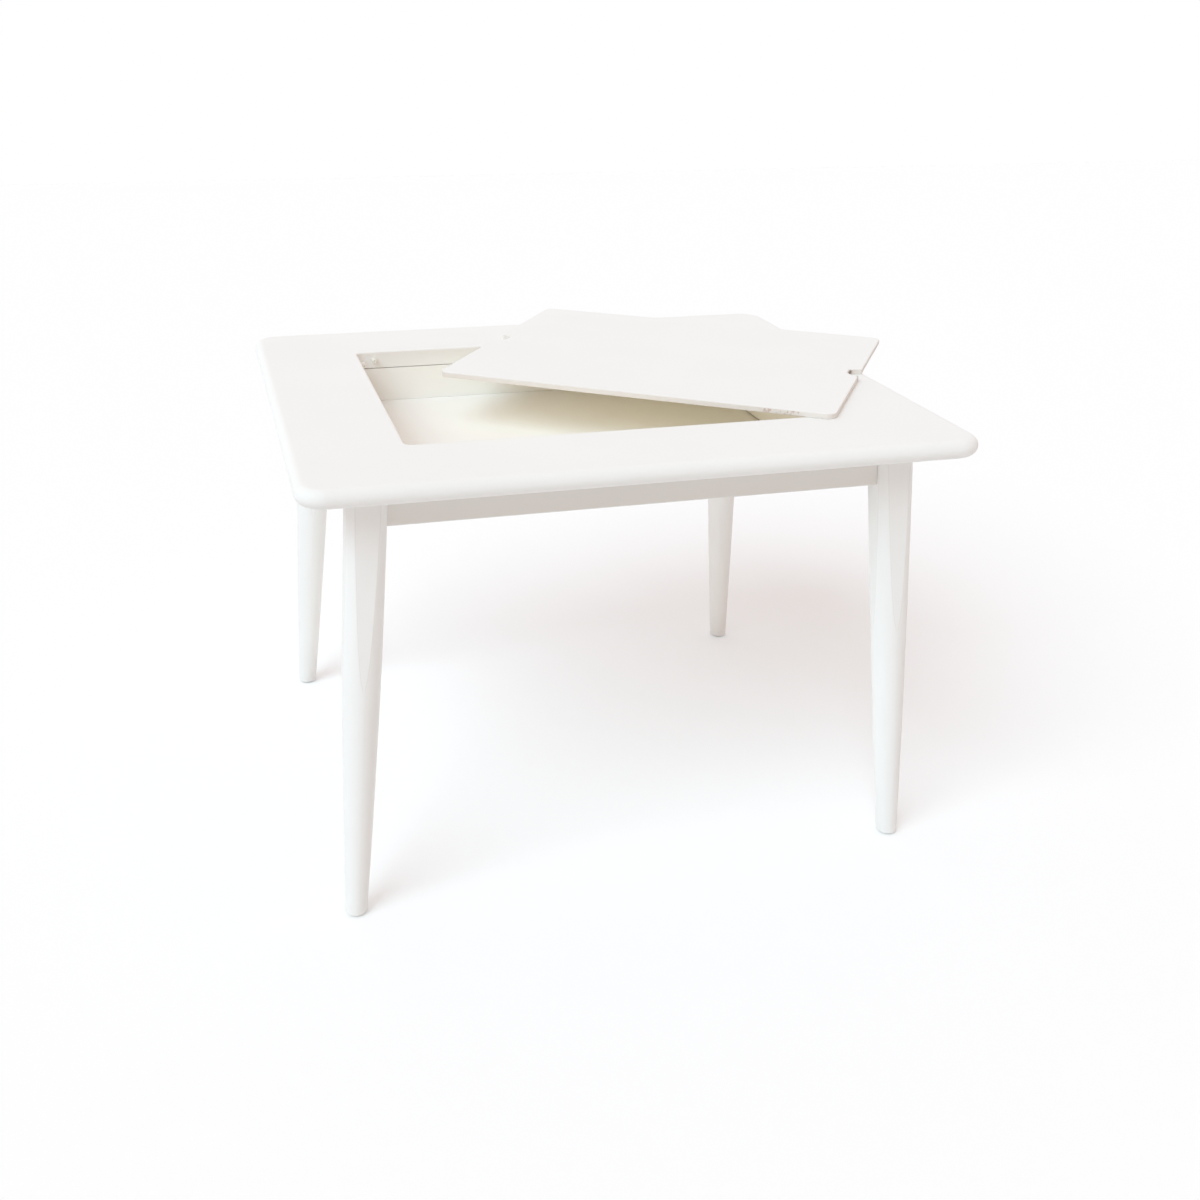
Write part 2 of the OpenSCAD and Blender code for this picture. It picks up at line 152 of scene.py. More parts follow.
class LidSizes(bpy.types.PropertyGroup):
    """Sizes of the loose lid."""
    gap: length("Gap", "Gap round the lid when it lies in the opening", 1.5 * MM)
    corner_radius: length("Corner radius", "Radius of the lid's corners", 12 * MM)
    notch_radius: length("Notch radius", "Radius of a finger notch", 15 * MM)
    notch_mouth: length("Notch mouth", "Rounding of the two corners of a notch's mouth", 1.6 * MM)
    arris: length("Arris", "Rounding of the lid's arrises", 1 * MM)
    turn: FloatProperty(
        name="Turn", description="How far the lid is turned on the top",
        default=math.radians(-35), subtype="ANGLE")


class LegSizes(bpy.types.PropertyGroup):
    """Sizes of a splayed leg."""
    splay: FloatProperty(
        name="Splay", description="Lean outwards, seen from the front and from the side",
        default=math.radians(4.7), subtype="ANGLE")
    shoulder_diameter: length("Shoulder diameter", "Diameter of the turned leg at its shoulder", 48 * MM)
    foot_diameter: length("Foot diameter", "Diameter of the turned leg at its foot", 24 * MM)
    flat_width: length("Flat width", "Width of the square shoulder across its flats", 40 * MM)
    belly: length("Belly", "Swell of the side between foot and shoulder", 1.3 * MM)
    foot_ease: length("Foot rounding", "Rounding round the foot", 1.5 * MM)
    arris: length("Arris", "Rounding where a flat meets the turned surface", 0.7 * MM)


class BoardSizes(bpy.types.PropertyGroup):
    """Sizes of the aprons and the storage box."""
    apron_lower: length("Apron lower arris", "Rounding of an apron's lower arrises", 2.5 * MM)
    apron_upright: length("Apron upright arris", "Rounding of an apron's upright arrises", 1 * MM)
    wall_arris: length("Wall arris", "Rounding of a box wall's arrises", 0.6 * MM)
    groove_height: length("Groove height", "Height of the shadow groove over the box walls", 1 * MM)
    groove_depth: length("Groove depth", "Depth of the shadow groove over the box walls", 3 * MM)
    foot_gap: length("Foot gap", "Gap under the right wall, where the bottom panel has sagged", 1.2 * MM)
    foot_gap_depth: length("Foot gap depth", "How far the gap under the right wall reaches in", 6 * MM)
    joint: length("Joint", "Open joint between an apron and a leg", 0.05 * MM)


class HardwareSizes(bpy.types.PropertyGroup):
    """Sizes of the bent sheet hardware."""
    sheet: length("Sheet", "Thickness of brackets and corner plates", 2 * MM)
    sheet_corner: length("Sheet corner", "Rounding of the sheet's corners", 2.5 * MM)
    bend: length("Bend", "Outer radius of the bends", 3 * MM)
    flange: length("Flange", "Length of a corner plate's flanges", 20 * MM)


class Finishes(bpy.types.PropertyGroup):
    """Colours of the finishes."""
    lacquer: colour("Lacquer", "Sprayed white lacquer on the top, lid and legs", "#F6F5F2")
    # Painted shade: the aprons' lacquer is darker and warmer than the top's to stand in for the shade under
    # the top's overhang
    rails: colour("Rails", "Lacquer on the aprons, a thinner and warmer coat", "#ECE9E4")
    inside: colour("Inside", "Lacquer on the storage box", "#F7F5F1")
    thin: colour("Thin coat", "Where the lacquer is thin on arrises and edges", "#DCD2C8")
    board: colour("Board", "Bare board where the lid's paint is chipped", "#BFA393")
    # Painted shade: this dark colour is laid in and beside the lid's right notch for the shade on the
    # notch's far wall and in the crevice under the lid, not for dirt
    grime: colour("Grime", "Dirt that fingers leave in the lid's notch", "#6A5448")
    nylon: colour("Nylon", "Moulded pegs and glides", "#EFEBE2")
    zinc: colour("Zinc", "Zinc plating on brackets, plates, screws and bolts", "#B9BBBE")


class StageSizes(bpy.types.PropertyGroup):
    """The floor, the lamps and the light all round."""
    room_front: FloatVectorProperty(
        name="Room, front", description="Light from in front and above, a dim warm white",
        default=(0.625, 0.514, 0.452), subtype="COLOR")
    room_back: FloatVectorProperty(
        name="Room, back", description="Light from behind and below, a plain white",
        default=(1.04, 0.99, 1.02), subtype="COLOR")
    key_colour: FloatVectorProperty(
        name="Key colour", description="Colour of the key lamp", default=(0.65, 0.875, 1.0), subtype="COLOR")
    key: FloatProperty(name="Key lamp", description="Strength of the key lamp", default=1.68)
    box_fill: FloatProperty(
        name="Box fill", description="Power of the fill that shines up in the box, in watts", default=0.072)
    under_fill: FloatProperty(
        name="Under fill", description="Power of the fill that shines up under the table, in watts",
        default=0.4)
    floor_shade: FloatVectorProperty(
        name="Floor shade", description="Share of the floor's own shading that the camera sees",
        default=(0.87, 0.82, 0.8), subtype="COLOR", min=0, max=1)


class TableLooks(bpy.types.PropertyGroup):
    """All the sizes and colours of the dressed table."""
    top: PointerProperty(type=TopSizes, name="Table top", description="Sizes of the table top")
    lid: PointerProperty(type=LidSizes, name="Lid", description="Sizes of the lid")
    leg: PointerProperty(type=LegSizes, name="Legs", description="Sizes of the legs")
    boards: PointerProperty(type=BoardSizes, name="Boards", description="Sizes of aprons and box")
    hardware: PointerProperty(type=HardwareSizes, name="Hardware", description="Sizes of the hardware")
    finishes: PointerProperty(type=Finishes, name="Finishes", description="Colours of the finishes")
    stage: PointerProperty(type=StageSizes, name="Stage", description="Floor, lamps and camera")


# ---------- meshes ----------

def rounded_rectangle(half_x, half_y, radius):
    """Points round a rectangle with rounded corners, from the right side anticlockwise."""
    points = []
    for quarter, (sx, sy) in enumerate([(1, 1), (-1, 1), (-1, -1), (1, -1)]):
        middle = Vector((sx * (half_x - radius), sy * (half_y - radius)))
        for step in range(CORNER_STEPS + 1):
            angle = (quarter + step / CORNER_STEPS) * QUARTER_TURN
            points.append(middle + radius * Vector((math.cos(angle), math.sin(angle))))
    return points


def lifted(outline, z):
    """A flat outline, lifted to a level."""
    return [p.to_3d() + Vector((0, 0, z)) for p in outline]


def skin(rings, loop=False):
    """Joins rings of equally many points into a skin: its points and its faces. A loop of rings
    closes on itself, and other skins are capped at both ends."""
    count = len(rings[0])
    points = [p for ring in rings for p in ring]
    faces = []
    for row in range(len(rings) if loop else len(rings) - 1):
        low = row * count
        high = (row + 1) % len(rings) * count
        for i in range(count):
            j = (i + 1) % count
            faces.append((low + i, low + j, high + j, high + i))
    if not loop:
        faces.append(tuple(reversed(range(count))))
        faces.append(tuple((len(rings) - 1) * count + i for i in range(count)))
    return points, faces


def finish_mesh(mesh, sharp_angle):
    """Points the faces outwards and shades the mesh smooth up to an angle."""
    shape = bmesh.new()
    shape.from_mesh(mesh)
    bmesh.ops.recalc_face_normals(shape, faces=shape.faces)
    shape.to_mesh(mesh)
    shape.free()
    mesh.shade_smooth()
    mesh.set_sharp_from_angle(angle=sharp_angle)


def add_piece(name, mesh, material, body="table", nodes=(), sharp_angle=BOARD_EDGE):
    """Puts a finished mesh in the scene as a piece that rides on a body and stands for its nodes."""
    finish_mesh(mesh, sharp_angle)
    piece = bpy.data.objects.new(name, mesh)
    bpy.context.scene.collection.objects.link(piece)
    piece.data.materials.append(material)
    normals = piece.modifiers.new("face_weighted_normals", "WEIGHTED_NORMAL")
    normals.keep_sharp = True
    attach(piece, body)
    if nodes:
        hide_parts(*nodes)


def mesh_from(name, points, faces, arris=None):
    """A mesh from points and faces, with an arris value from 0 to 1 for each point."""
    mesh = bpy.data.meshes.new(name)
    mesh.from_pydata([tuple(p) for p in points], [], faces)
    values = arris if arris else [0.0] * len(points)
    layer = mesh.attributes.new("arris", "FLOAT", "POINT")
    layer.data.foreach_set("value", values)
    return mesh


def rounding(radius, steps):
    """Steps over a rounded arris: how far each lies in from the side and in from the end."""
    angles = [QUARTER_TURN * i / steps for i in range(steps + 1)]
    return [(radius * (1 - math.sin(a)), radius * (1 - math.cos(a))) for a in angles]


# ---------- materials ----------

# What a cell of each pattern measures on the real surface, in millimetres
PEEL_MM = 2.0
GRAIN_MM = 0.9
CLOUD_MM = 140
CHIP_MM = 4.0
GRIT_MM = 0.4
BLOTCH_MM = 6.0
ROLLING_MM = 3.0

# How many times longer the ridges of the grain are than wide, and how tightly the rolling lines lie
GRAIN_STRETCH = 45
ROLLING_SQUEEZE = 12

# Noise keeps near the middle of its range: the part of the range over which a pattern rises
NARROW_SPAN = (0.35, 0.65)
WIDE_SPAN = (0.3, 0.7)

# Roughness of each finish, from its smoothest to its dullest spots
LACQUER_ROUGHNESS = (0.55, 0.63)
NYLON_ROUGHNESS = (0.42, 0.55)
ZINC_ROUGHNESS = (0.28, 0.45)

# Share by which each finish's colour drifts darker
LACQUER_DRIFT = 0.012
NYLON_DRIFT = 0.04
ZINC_DRIFT = 0.14

# Height of each finish's relief
LACQUER_RELIEF = 0.02 * MM
NYLON_RELIEF = 0.01 * MM
ZINC_RELIEF = 0.02 * MM

# The lacquer's gloss is weak, and light goes a little way into the nylon
LACQUER_GLOSS = 0.3
NYLON_GLOW = 0.1
NYLON_GLOW_DEPTH = 1 * MM

# How much of the wood's tone shows through where the lacquer is thin; on the lid the larger share is
# partly thin paint and partly painted shade, darkening its edge faces between the lit arrises
BOARD_BARE = 0.25
LID_BARE_AND_SHADE = 0.6

# The lid's wear: how far round a knock its edge is chipped, fully in the core of that reach, from
# which arris value and noise on, and how much of the board shows in a chip
KNOCK_REACH = 45 * MM
KNOCK_CORE = 0.4
CHIP_ARRIS = 0.7
CHIP_SPAN = (0.5, 0.6)
CHIP_COVER = 0.6

# The painted shade by the lid's right notch, dark spots on the notch's far wall and in the crevice under the
# lid:
# how far each reaches, the core that it covers evenly, and how well it covers that
NOTCH_SHADE_REACH = 4.5 * MM
NOTCH_SHADE_CORE = 0.3
NOTCH_SHADE_COVER = 0.8

# Where a node that mixes two colours has them and its result among its sockets
MIX_UNDER = 6
MIX_OVER = 7
MIX_RESULT = 2


def cells(size_mm):
    """Noise scale at which a cell of the pattern is this many millimetres across."""
    return 1 / (size_mm * MM)


def opaque(tint):
    """A colour with the full alpha that a socket asks for."""
    return [*tint[:3], 1]


def darker(tint, share):
    """A colour, darkened by a share."""
    return [c * (1 - share) for c in tint[:3]] + [1]


def add_node(tree, kind, settings=None, inputs=()):
    """Adds a node, sets its options, and gives each input a value or a link from another output.
    The inputs are named or numbered, or else given in the node's own order."""
    made = tree.nodes.new(kind)
    for option, value in (settings or {}).items():
        setattr(made, option, value)
    for key, value in (inputs.items() if isinstance(inputs, dict) else enumerate(inputs)):
        if isinstance(value, bpy.types.NodeSocket):
            tree.links.new(value, made.inputs[key])
        else:
            made.inputs[key].default_value = value
    return made


def new_material(name):
    """An empty node material: its tree, its principled shader and the object's own coordinates."""
    material = bpy.data.materials.new(name)
    material.use_nodes = True
    tree = material.node_tree
    shader = tree.nodes["Principled BSDF"]
    place = add_node(tree, "ShaderNodeTexCoord").outputs["Object"]
    return material, tree, shader, place


def overlaid(tree, under, over, pattern, span=(0, 1), cover=(0, 1)):
    """A colour laid over another. As the pattern rises over the span, the share that the upper one
    covers goes from the first value of cover to the second."""
    share = add_node(tree, "ShaderNodeMapRange", {}, (pattern, *span, *cover)).outputs[0]
    return add_node(tree, "ShaderNodeMix", {"data_type": "RGBA"}, {
        0: share, MIX_UNDER: under, MIX_OVER: over}).outputs[MIX_RESULT]


def finish_surface(tree, shader, coat, pattern, roughness, reliefs):
    """Gives a shader its colour, its roughness, which follows a pattern, and its reliefs one over
    the other, each a pattern and its height."""
    dull = add_node(tree, "ShaderNodeMapRange", {}, (pattern, *WIDE_SPAN, *roughness)).outputs[0]
    tree.links.new(coat, shader.inputs["Base Color"])
    tree.links.new(dull, shader.inputs["Roughness"])
    lower = {}
    for height, rise in reliefs:
        bump = add_node(tree, "ShaderNodeBump", {}, {
            "Height": height, "Distance": rise, "Strength": 1.0, **lower}).outputs["Normal"]
        lower = {"Normal": bump}
    tree.links.new(bump, shader.inputs["Normal"])


def worn_and_shaded(tree, coat, place, arris, wear):
    """The lid's lacquer with its wear and its painted shade: chipped off an edge by knocks, in specks of a
    few millimetres round one spot, and darkened by painted shade in and beside its right notch, where the
    notch's far wall and the crevice under the lid lie in shade."""
    away = add_node(tree, "ShaderNodeVectorMath", {"operation": "DISTANCE"}, (
        place, wear["knock"])).outputs["Value"]
    near = add_node(tree, "ShaderNodeMapRange", {}, (
        away, KNOCK_CORE * KNOCK_REACH, KNOCK_REACH, 1, 0)).outputs[0]
    edge = add_node(tree, "ShaderNodeMapRange", {}, (arris, CHIP_ARRIS, 1, 0, 1)).outputs[0]
    specks = add_node(tree, "ShaderNodeTexNoise", {}, {
        "Vector": place, "Scale": cells(CHIP_MM), "Detail": 3.0}).outputs["Fac"]
    where = add_node(tree, "ShaderNodeMath", {"operation": "MULTIPLY"}, (near, edge)).outputs[0]
    chips = add_node(tree, "ShaderNodeMath", {"operation": "MULTIPLY"}, (where, specks)).outputs[0]
    coat = overlaid(tree, coat, opaque(wear["board"]), chips, CHIP_SPAN, (0, CHIP_COVER))
    # Painted shade: one dark spot on the notch's far wall and one in the crevice under the lid, both in
    # shade
    for spot in wear["shaded_spots"]:
        away = add_node(tree, "ShaderNodeVectorMath", {"operation": "DISTANCE"}, (
            place, spot)).outputs["Value"]
        coat = overlaid(tree, coat, opaque(wear["grime"]), away,
                        (NOTCH_SHADE_CORE * NOTCH_SHADE_REACH, NOTCH_SHADE_REACH), (NOTCH_SHADE_COVER, 0))
    return coat


def sprayed_lacquer(name, base, thin, grain_turn=0.0, bare_and_shade=BOARD_BARE, wear=None):
    """Satin white lacquer, sprayed on sanded wood. The spray leaves a soft orange peel of about
    2 mm, the grain under it shows as the faintest ridges along the board, and the film pulls thin
    on the arrises, where the wood warms it. The eye sees a soft, milky white that isn't quite even."""
    material, tree, shader, place = new_material(name)
    along = add_node(tree, "ShaderNodeMapping", {"vector_type": "TEXTURE"}, {
        "Vector": place, "Rotation": (0, 0, grain_turn), "Scale": (GRAIN_STRETCH, 1, 1),
    }).outputs["Vector"]
    peel = add_node(tree, "ShaderNodeTexNoise", {}, {
        "Vector": place, "Scale": cells(PEEL_MM), "Detail": 2.0}).outputs["Fac"]
    ridges = add_node(tree, "ShaderNodeTexNoise", {}, {
        "Vector": along, "Scale": cells(GRAIN_MM), "Detail": 3.0}).outputs["Fac"]
    clouds = add_node(tree, "ShaderNodeTexNoise", {}, {
        "Vector": place, "Scale": cells(CLOUD_MM), "Detail": 2.0}).outputs["Fac"]
    arris = add_node(tree, "ShaderNodeAttribute", {"attribute_name": "arris"}).outputs["Fac"]
    coat = overlaid(tree, opaque(base), darker(base, LACQUER_DRIFT), clouds, NARROW_SPAN)
    coat = overlaid(tree, coat, opaque(thin), arris, cover=(0, bare_and_shade))
    if wear:
        coat = worn_and_shaded(tree, coat, place, arris, wear)
    finish_surface(tree, shader, coat, peel, LACQUER_ROUGHNESS,
                   [(ridges, LACQUER_RELIEF), (peel, LACQUER_RELIEF)])
    shader.inputs["Specular IOR Level"].default_value = LACQUER_GLOSS
    return material


def moulded_nylon(name, base):
    """White nylon, injection moulded. It is slightly translucent and waxy, with a fine spark-eroded
    texture of about 0.4 mm that breaks the highlight up."""
    material, tree, shader, place = new_material(name)
    grit = add_node(tree, "ShaderNodeTexNoise", {}, {
        "Vector": place, "Scale": cells(GRIT_MM), "Detail": 1.0}).outputs["Fac"]
    coat = overlaid(tree, opaque(base), darker(base, NYLON_DRIFT), grit, WIDE_SPAN)
    finish_surface(tree, shader, coat, grit, NYLON_ROUGHNESS, [(grit, NYLON_RELIEF)])
    shader.inputs["Subsurface Weight"].default_value = NYLON_GLOW
    shader.inputs["Subsurface Scale"].default_value = NYLON_GLOW_DEPTH
    return material


def zinc_plate(name, base):
    """Bright zinc on pressed steel. The plating is grey with a cool sheen, blotched in patches of
    about 6 mm where the passivation took unevenly, and drawn over with fine rolling lines."""
    material, tree, shader, place = new_material(name)
    blotches = add_node(tree, "ShaderNodeTexNoise", {}, {
        "Vector": place, "Scale": cells(BLOTCH_MM), "Detail": 3.0}).outputs["Fac"]
    squeezed = add_node(tree, "ShaderNodeMapping", {}, {
        "Vector": place, "Scale": (1, 1, ROLLING_SQUEEZE)}).outputs["Vector"]
    lines = add_node(tree, "ShaderNodeTexNoise", {}, {
        "Vector": squeezed, "Scale": cells(ROLLING_MM), "Detail": 3.0}).outputs["Fac"]
    coat = overlaid(tree, opaque(base), darker(base, ZINC_DRIFT), blotches, NARROW_SPAN)
    finish_surface(tree, shader, coat, blotches, ZINC_ROUGHNESS, [(lines, ZINC_RELIEF)])
    shader.inputs["Metallic"].default_value = 1.0
    return material


# ---------- the table's corners and sides ----------

CORNERS = [(sx, sy) for sx in (-1, 1) for sy in (-1, 1)]

# Each side, the back or right one that it mirrors and how, and the axis that it runs along
SIDES = [("front", "back", 1, -1, 0), ("back", "back", 1, 1, 0),
         ("left", "right", -1, 1, 1), ("right", "right", 1, 1, 1)]


def leg_frame(leg):
    """The back right leg's axis: its middle at the underside, its three directions and its length."""
    drop = UNDERSIDE - PLACES["leg_low"]
    out = drop * math.tan(leg.splay)
    middle = Vector((PLACES["foot"].x - out, PLACES["foot"].y - out, UNDERSIDE))
    tilt = math.atan(math.sqrt(2) * math.tan(leg.splay))
    turned = Matrix.Rotation(tilt, 3, Vector((1, -1, 0)))
    return middle, turned.col[0], turned.col[1], turned.col[2], drop / math.cos(tilt)


def corner_name(sx, sy):
    """Name of a corner of the table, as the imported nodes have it."""
    return ("back" if sy > 0 else "front") + "_" + ("right" if sx > 0 else "left")


def mirrored(points, sx, sy):
    """Points of the back right corner, taken to another corner."""
    return [Vector((sx * p.x, sy * p.y, p.z)) for p in points]


def across_board(section, axis, place):
    """A board's section, drawn across the board and upwards, set at a place along its axis."""
    ring = []
    for side, z in section:
        point = Vector((0, 0, z))
        point[axis] = place
        point[1 - axis] = side
        ring.append(point)
    return ring


# ---------- the pieces, one operator for each group of like pieces ----------

class TABLE_OT_top(bpy.types.Operator):
    """Build the table top with its full-round edge and its opening"""
    bl_idname = "play_table.top"
    bl_label = "Table top"

    def execute(self, context):
        looks = context.scene.table_looks
        sizes = looks.top
        half = (PLACES["top_high"] - PLACES["top_low"]) / 2
        opening = PLACES["opening"] / 2
        edge = half.z
        middle_z = UNDERSIDE + edge

        def outer(inset, z):
            """The top's outline at a level, drawn in."""
            return lifted(rounded_rectangle(
                half.x - inset, half.y - inset, sizes.corner_radius - inset), z)

        def inner(outset, z):
            """The opening's outline at a level, drawn out."""
            return lifted(rounded_rectangle(
                opening.x + outset, opening.y + outset, sizes.opening_radius + outset), z)

        rings = [outer(edge + TOP_BAND, TOP_LEVEL)]
        for i in range(BULLNOSE_STEPS + 1):
            angle = QUARTER_TURN - math.pi * i / BULLNOSE_STEPS
            rings.append(outer(edge * (1 - math.cos(angle)), middle_z + edge * math.sin(angle)))
        rings.append(outer(edge + TOP_BAND, UNDERSIDE))
        low, high = sizes.lower_arris, sizes.upper_arris
        rings.append(inner(low + TOP_BAND, UNDERSIDE))
        rings += [inner(side, UNDERSIDE + up) for side, up in rounding(low, LOWER_ARRIS_STEPS)]
        plain_rings = len(rings)
        rings += [inner(side, TOP_LEVEL - down)
                  for side, down in reversed(rounding(high, UPPER_ARRIS_STEPS))]
        worn_rings = len(rings) - plain_rings
        rings.append(inner(high + TOP_BAND, TOP_LEVEL))
        points, faces = skin(rings, loop=True)
        count = len(rings[0])
        arris = [0.0] * count * plain_rings + [1.0] * count * worn_rings + [0.0] * count
        mesh = mesh_from("tabletop", points, faces, arris)
        finishes = looks.finishes
        material = sprayed_lacquer("sprayed_lacquer_top", finishes.lacquer, finishes.thin)
        add_piece("tabletop", mesh, material, nodes=["table_top"])
        return {"FINISHED"}


# Where the lid's front edge was knocked, in from its right corner, and where round the right notch
# the painted shade of the notch's far wall lies
KNOCK_IN = 60 * MM
NOTCH_SHADE_TURN = math.radians(150)


class TABLE_OT_lid(bpy.types.Operator):
    """Build the loose lid with its two finger notches"""
    bl_idname = "play_table.lid"
    bl_label = "Lid"

    def outline(self, sizes, half):
        """Points round the lid with their outward directions, anticlockwise from the front right."""
        r, notch, mouth = sizes.corner_radius, sizes.notch_radius, sizes.notch_mouth
        rise = math.sqrt((notch + mouth) ** 2 - mouth ** 2)
        turn = math.atan2(rise, mouth)
        arcs = [
            (Vector((half.x - r, -half.y + r)), r, -QUARTER_TURN, 0, LID_CORNER_STEPS, 1),
            (Vector((half.x - mouth, -rise)), mouth, 0, turn, LID_MOUTH_STEPS, 1),
            (Vector((half.x, 0)), notch, math.pi + turn, math.pi - turn, LID_NOTCH_STEPS, -1),
            (Vector((half.x - mouth, rise)), mouth, -turn, 0, LID_MOUTH_STEPS, 1),
            (Vector((half.x - r, half.y - r)), r, 0, QUARTER_TURN, LID_CORNER_STEPS, 1),
        ]
        side = []
        for middle, radius, start, end, steps, way in arcs:
            for i in range(steps + 1):
                angle = start + (end - start) * i / steps
                ray = Vector((math.cos(angle), math.sin(angle)))
                side.append((middle + radius * ray, way * ray))
        return side + [(-p, -n) for p, n in side]

    def wear(self, looks, half, place):
        """Where the lid is knocked, and where painted shade darkens it by its right notch, at half its
        thickness, and what shows there.
        """
        edge = (PLACES["lid_low"] + PLACES["lid_high"]) / 2
        notch = looks.lid.notch_radius
        # Painted shade: one spot on the notch's far wall, one in the crevice under the lid beside its mouth
        shade_in_notch = (half.x + notch * math.cos(NOTCH_SHADE_TURN), notch * math.sin(NOTCH_SHADE_TURN))
        shade_by_mouth = (half.x, -notch - 2 * looks.lid.notch_mouth)
        return {
            "knock": place @ Vector((half.x - KNOCK_IN, -half.y, edge)),
            "shaded_spots": [place @ Vector((*spot, edge)) for spot in (shade_in_notch, shade_by_mouth)],
            "board": looks.finishes.board,
            "grime": looks.finishes.grime,
        }

    def execute(self, context):
        looks = context.scene.table_looks
        sizes = looks.lid
        half = PLACES["opening"] / 2 - Vector((sizes.gap, sizes.gap))
        outline = self.outline(sizes, half)
        low, high, arris = PLACES["lid_low"], PLACES["lid_high"], sizes.arris
        middle = PLACES["lid_middle"]
        place = Matrix.Translation((middle.x, middle.y, 0)) @ Matrix.Rotation(sizes.turn, 4, "Z")
        steps = rounding(arris, LID_ARRIS_STEPS)
        profile = [(arris + LID_BAND, low, 0)]
        profile += [(side, low + up, 1 - side / arris) for side, up in steps]
        profile += [(side, high - down, 1 - side / arris) for side, down in reversed(steps)]
        profile.append((arris + LID_BAND, high, 0))
        rings = []
        values = []
        for inset, z, value in profile:
            rings.append([place @ (p - n * inset).to_3d() + Vector((0, 0, z)) for p, n in outline])
            values += [float(value)] * len(outline)
        points, faces = skin(rings)
        mesh = mesh_from("lid_panel", points, faces, values)
        # The lid's edge faces take the thin coat strongly: partly thin paint, partly painted shade between
        # the lit arrises
        material = sprayed_lacquer(
            "sprayed_lacquer_lid", looks.finishes.lacquer, looks.finishes.thin, grain_turn=sizes.turn,
            bare_and_shade=LID_BARE_AND_SHADE, wear=self.wear(looks, half, place))
        add_piece("lid_panel", mesh, material, body="lid", nodes=["lid"])
        return {"FINISHED"}


# The leg's flats fade out at this half angle, and its points settle on a level in this many rounds
LEAST_FLAT = math.radians(2.5)
LEVEL_ROUNDS = 4


class TABLE_OT_legs(bpy.types.Operator):
    """Build the four splayed legs, square at the shoulder and round at the foot"""
    bl_idname = "play_table.legs"
    bl_label = "Legs"

    def section(self, radius, flat, arris):
        """One ring of a leg: a circle whose four sides are planed flat where it is wide enough. Each
        point has two places across the axis, and 1 where it lies on a worn arris."""
        half_flat = max(math.acos(min(1, flat / radius)), LEAST_FLAT)
        ease = min(arris / radius, half_flat / 2)
        inner = half_flat - ease
        angles = [inner * (2 * i / LEG_FLAT_STEPS - 1) for i in range(LEG_FLAT_STEPS + 1)]
        angles += [half_flat, half_flat + ease]
        start, end = half_flat + ease, QUARTER_TURN - half_flat - ease
        angles += [start + (end - start) * i / LEG_ARC_STEPS for i in range(1, LEG_ARC_STEPS + 1)]
        angles += [QUARTER_TURN - half_flat]
        ring = []
        for quarter in range(4):
            for angle in angles:
                to_flat = math.cos(angle) if angle < QUARTER_TURN / 2 else math.sin(angle)
                reach = min(radius, flat / to_flat)
                from_arris = min(abs(angle - half_flat), abs(QUARTER_TURN - angle - half_flat))
                on_arris = from_arris < SAME_ANGLE and radius > flat
                if on_arris:
                    reach -= radius * (1 - math.cos(ease)) / 2
                turn = angle + quarter * QUARTER_TURN
                ring.append((reach * math.cos(turn), reach * math.sin(turn), 1.0 if on_arris else 0.0))
        return ring

    def execute(self, context):
        looks = context.scene.table_looks
        sizes = looks.leg
        middle, across, along, up, leg_length = leg_frame(sizes)
        foot_r, shoulder_r = sizes.foot_diameter / 2, sizes.shoulder_diameter / 2
        flat = sizes.flat_width / 2

        def section_at(height):
            """The leg's ring at a height along its axis, measured from the underside."""
            share = (height + leg_length) / leg_length
            radius = foot_r + (shoulder_r - foot_r) * share + 4 * sizes.belly * share * (1 - share)
            return self.section(radius, flat, sizes.arris)

        def level_ring(z, shrink):
            """A ring of the leg at one level, with its arris values; shrink draws it in at the foot."""
            start = (z - UNDERSIDE) / up.z
            centre = middle + up * start
            ring = []
            for index in range(len(section_at(start))):
                height = start
                for _ in range(LEVEL_ROUNDS):
                    x, y, value = section_at(height)[index]
                    height = (z - UNDERSIDE - x * across.z - y * along.z) / up.z
                radial = middle + across * x + along * y + up * height - centre
                radial *= 1 - shrink / radial.length
                ring.append((centre + radial, value))
            return ring

        foot_level = PLACES["leg_low"]
        rings = [level_ring(foot_level + up_in, side_in)
                 for side_in, up_in in rounding(sizes.foot_ease, LEG_FOOT_STEPS)]
        start = foot_level + sizes.foot_ease
        rings += [level_ring(start + (UNDERSIDE - start) * i / LEG_RISE_STEPS, 0)
                  for i in range(1, LEG_RISE_STEPS + 1)]
        points, faces = skin([[p for p, _ in ring] for ring in rings])
        arris = [value for ring in rings for _, value in ring]
        finishes = looks.finishes
        material = sprayed_lacquer(
            "sprayed_lacquer_leg", finishes.lacquer, finishes.thin, grain_turn=QUARTER_TURN)
        for sx, sy in CORNERS:
            name = corner_name(sx, sy)
            mesh = mesh_from("turned_leg_" + name, mirrored(points, sx, sy), faces, arris)
            add_piece("turned_leg_" + name, mesh, material, nodes=["leg_" + name],
                      sharp_angle=LEG_EDGE)
        return {"FINISHED"}


def eased_board(name, points, faces, cuts):
    """A board's mesh with arrises rounded, cut by cut: each has a width and a test for its edges."""
    mesh = mesh_from(name, points, faces)
    shape = bmesh.new()
    shape.from_mesh(mesh)
    bmesh.ops.recalc_face_normals(shape, faces=shape.faces)
    for width, wanted in cuts:
        edges = [e for e in shape.edges
                 if e.is_convex and e.calc_face_angle(0) > ARRIS_EDGE and wanted(e)]
        bmesh.ops.bevel(shape, geom=edges, offset=width, segments=BEVEL_STEPS, profile=0.5,
                        affect="EDGES", clamp_overlap=True, harden_normals=False)
    shape.to_mesh(mesh)
    shape.free()
    return mesh


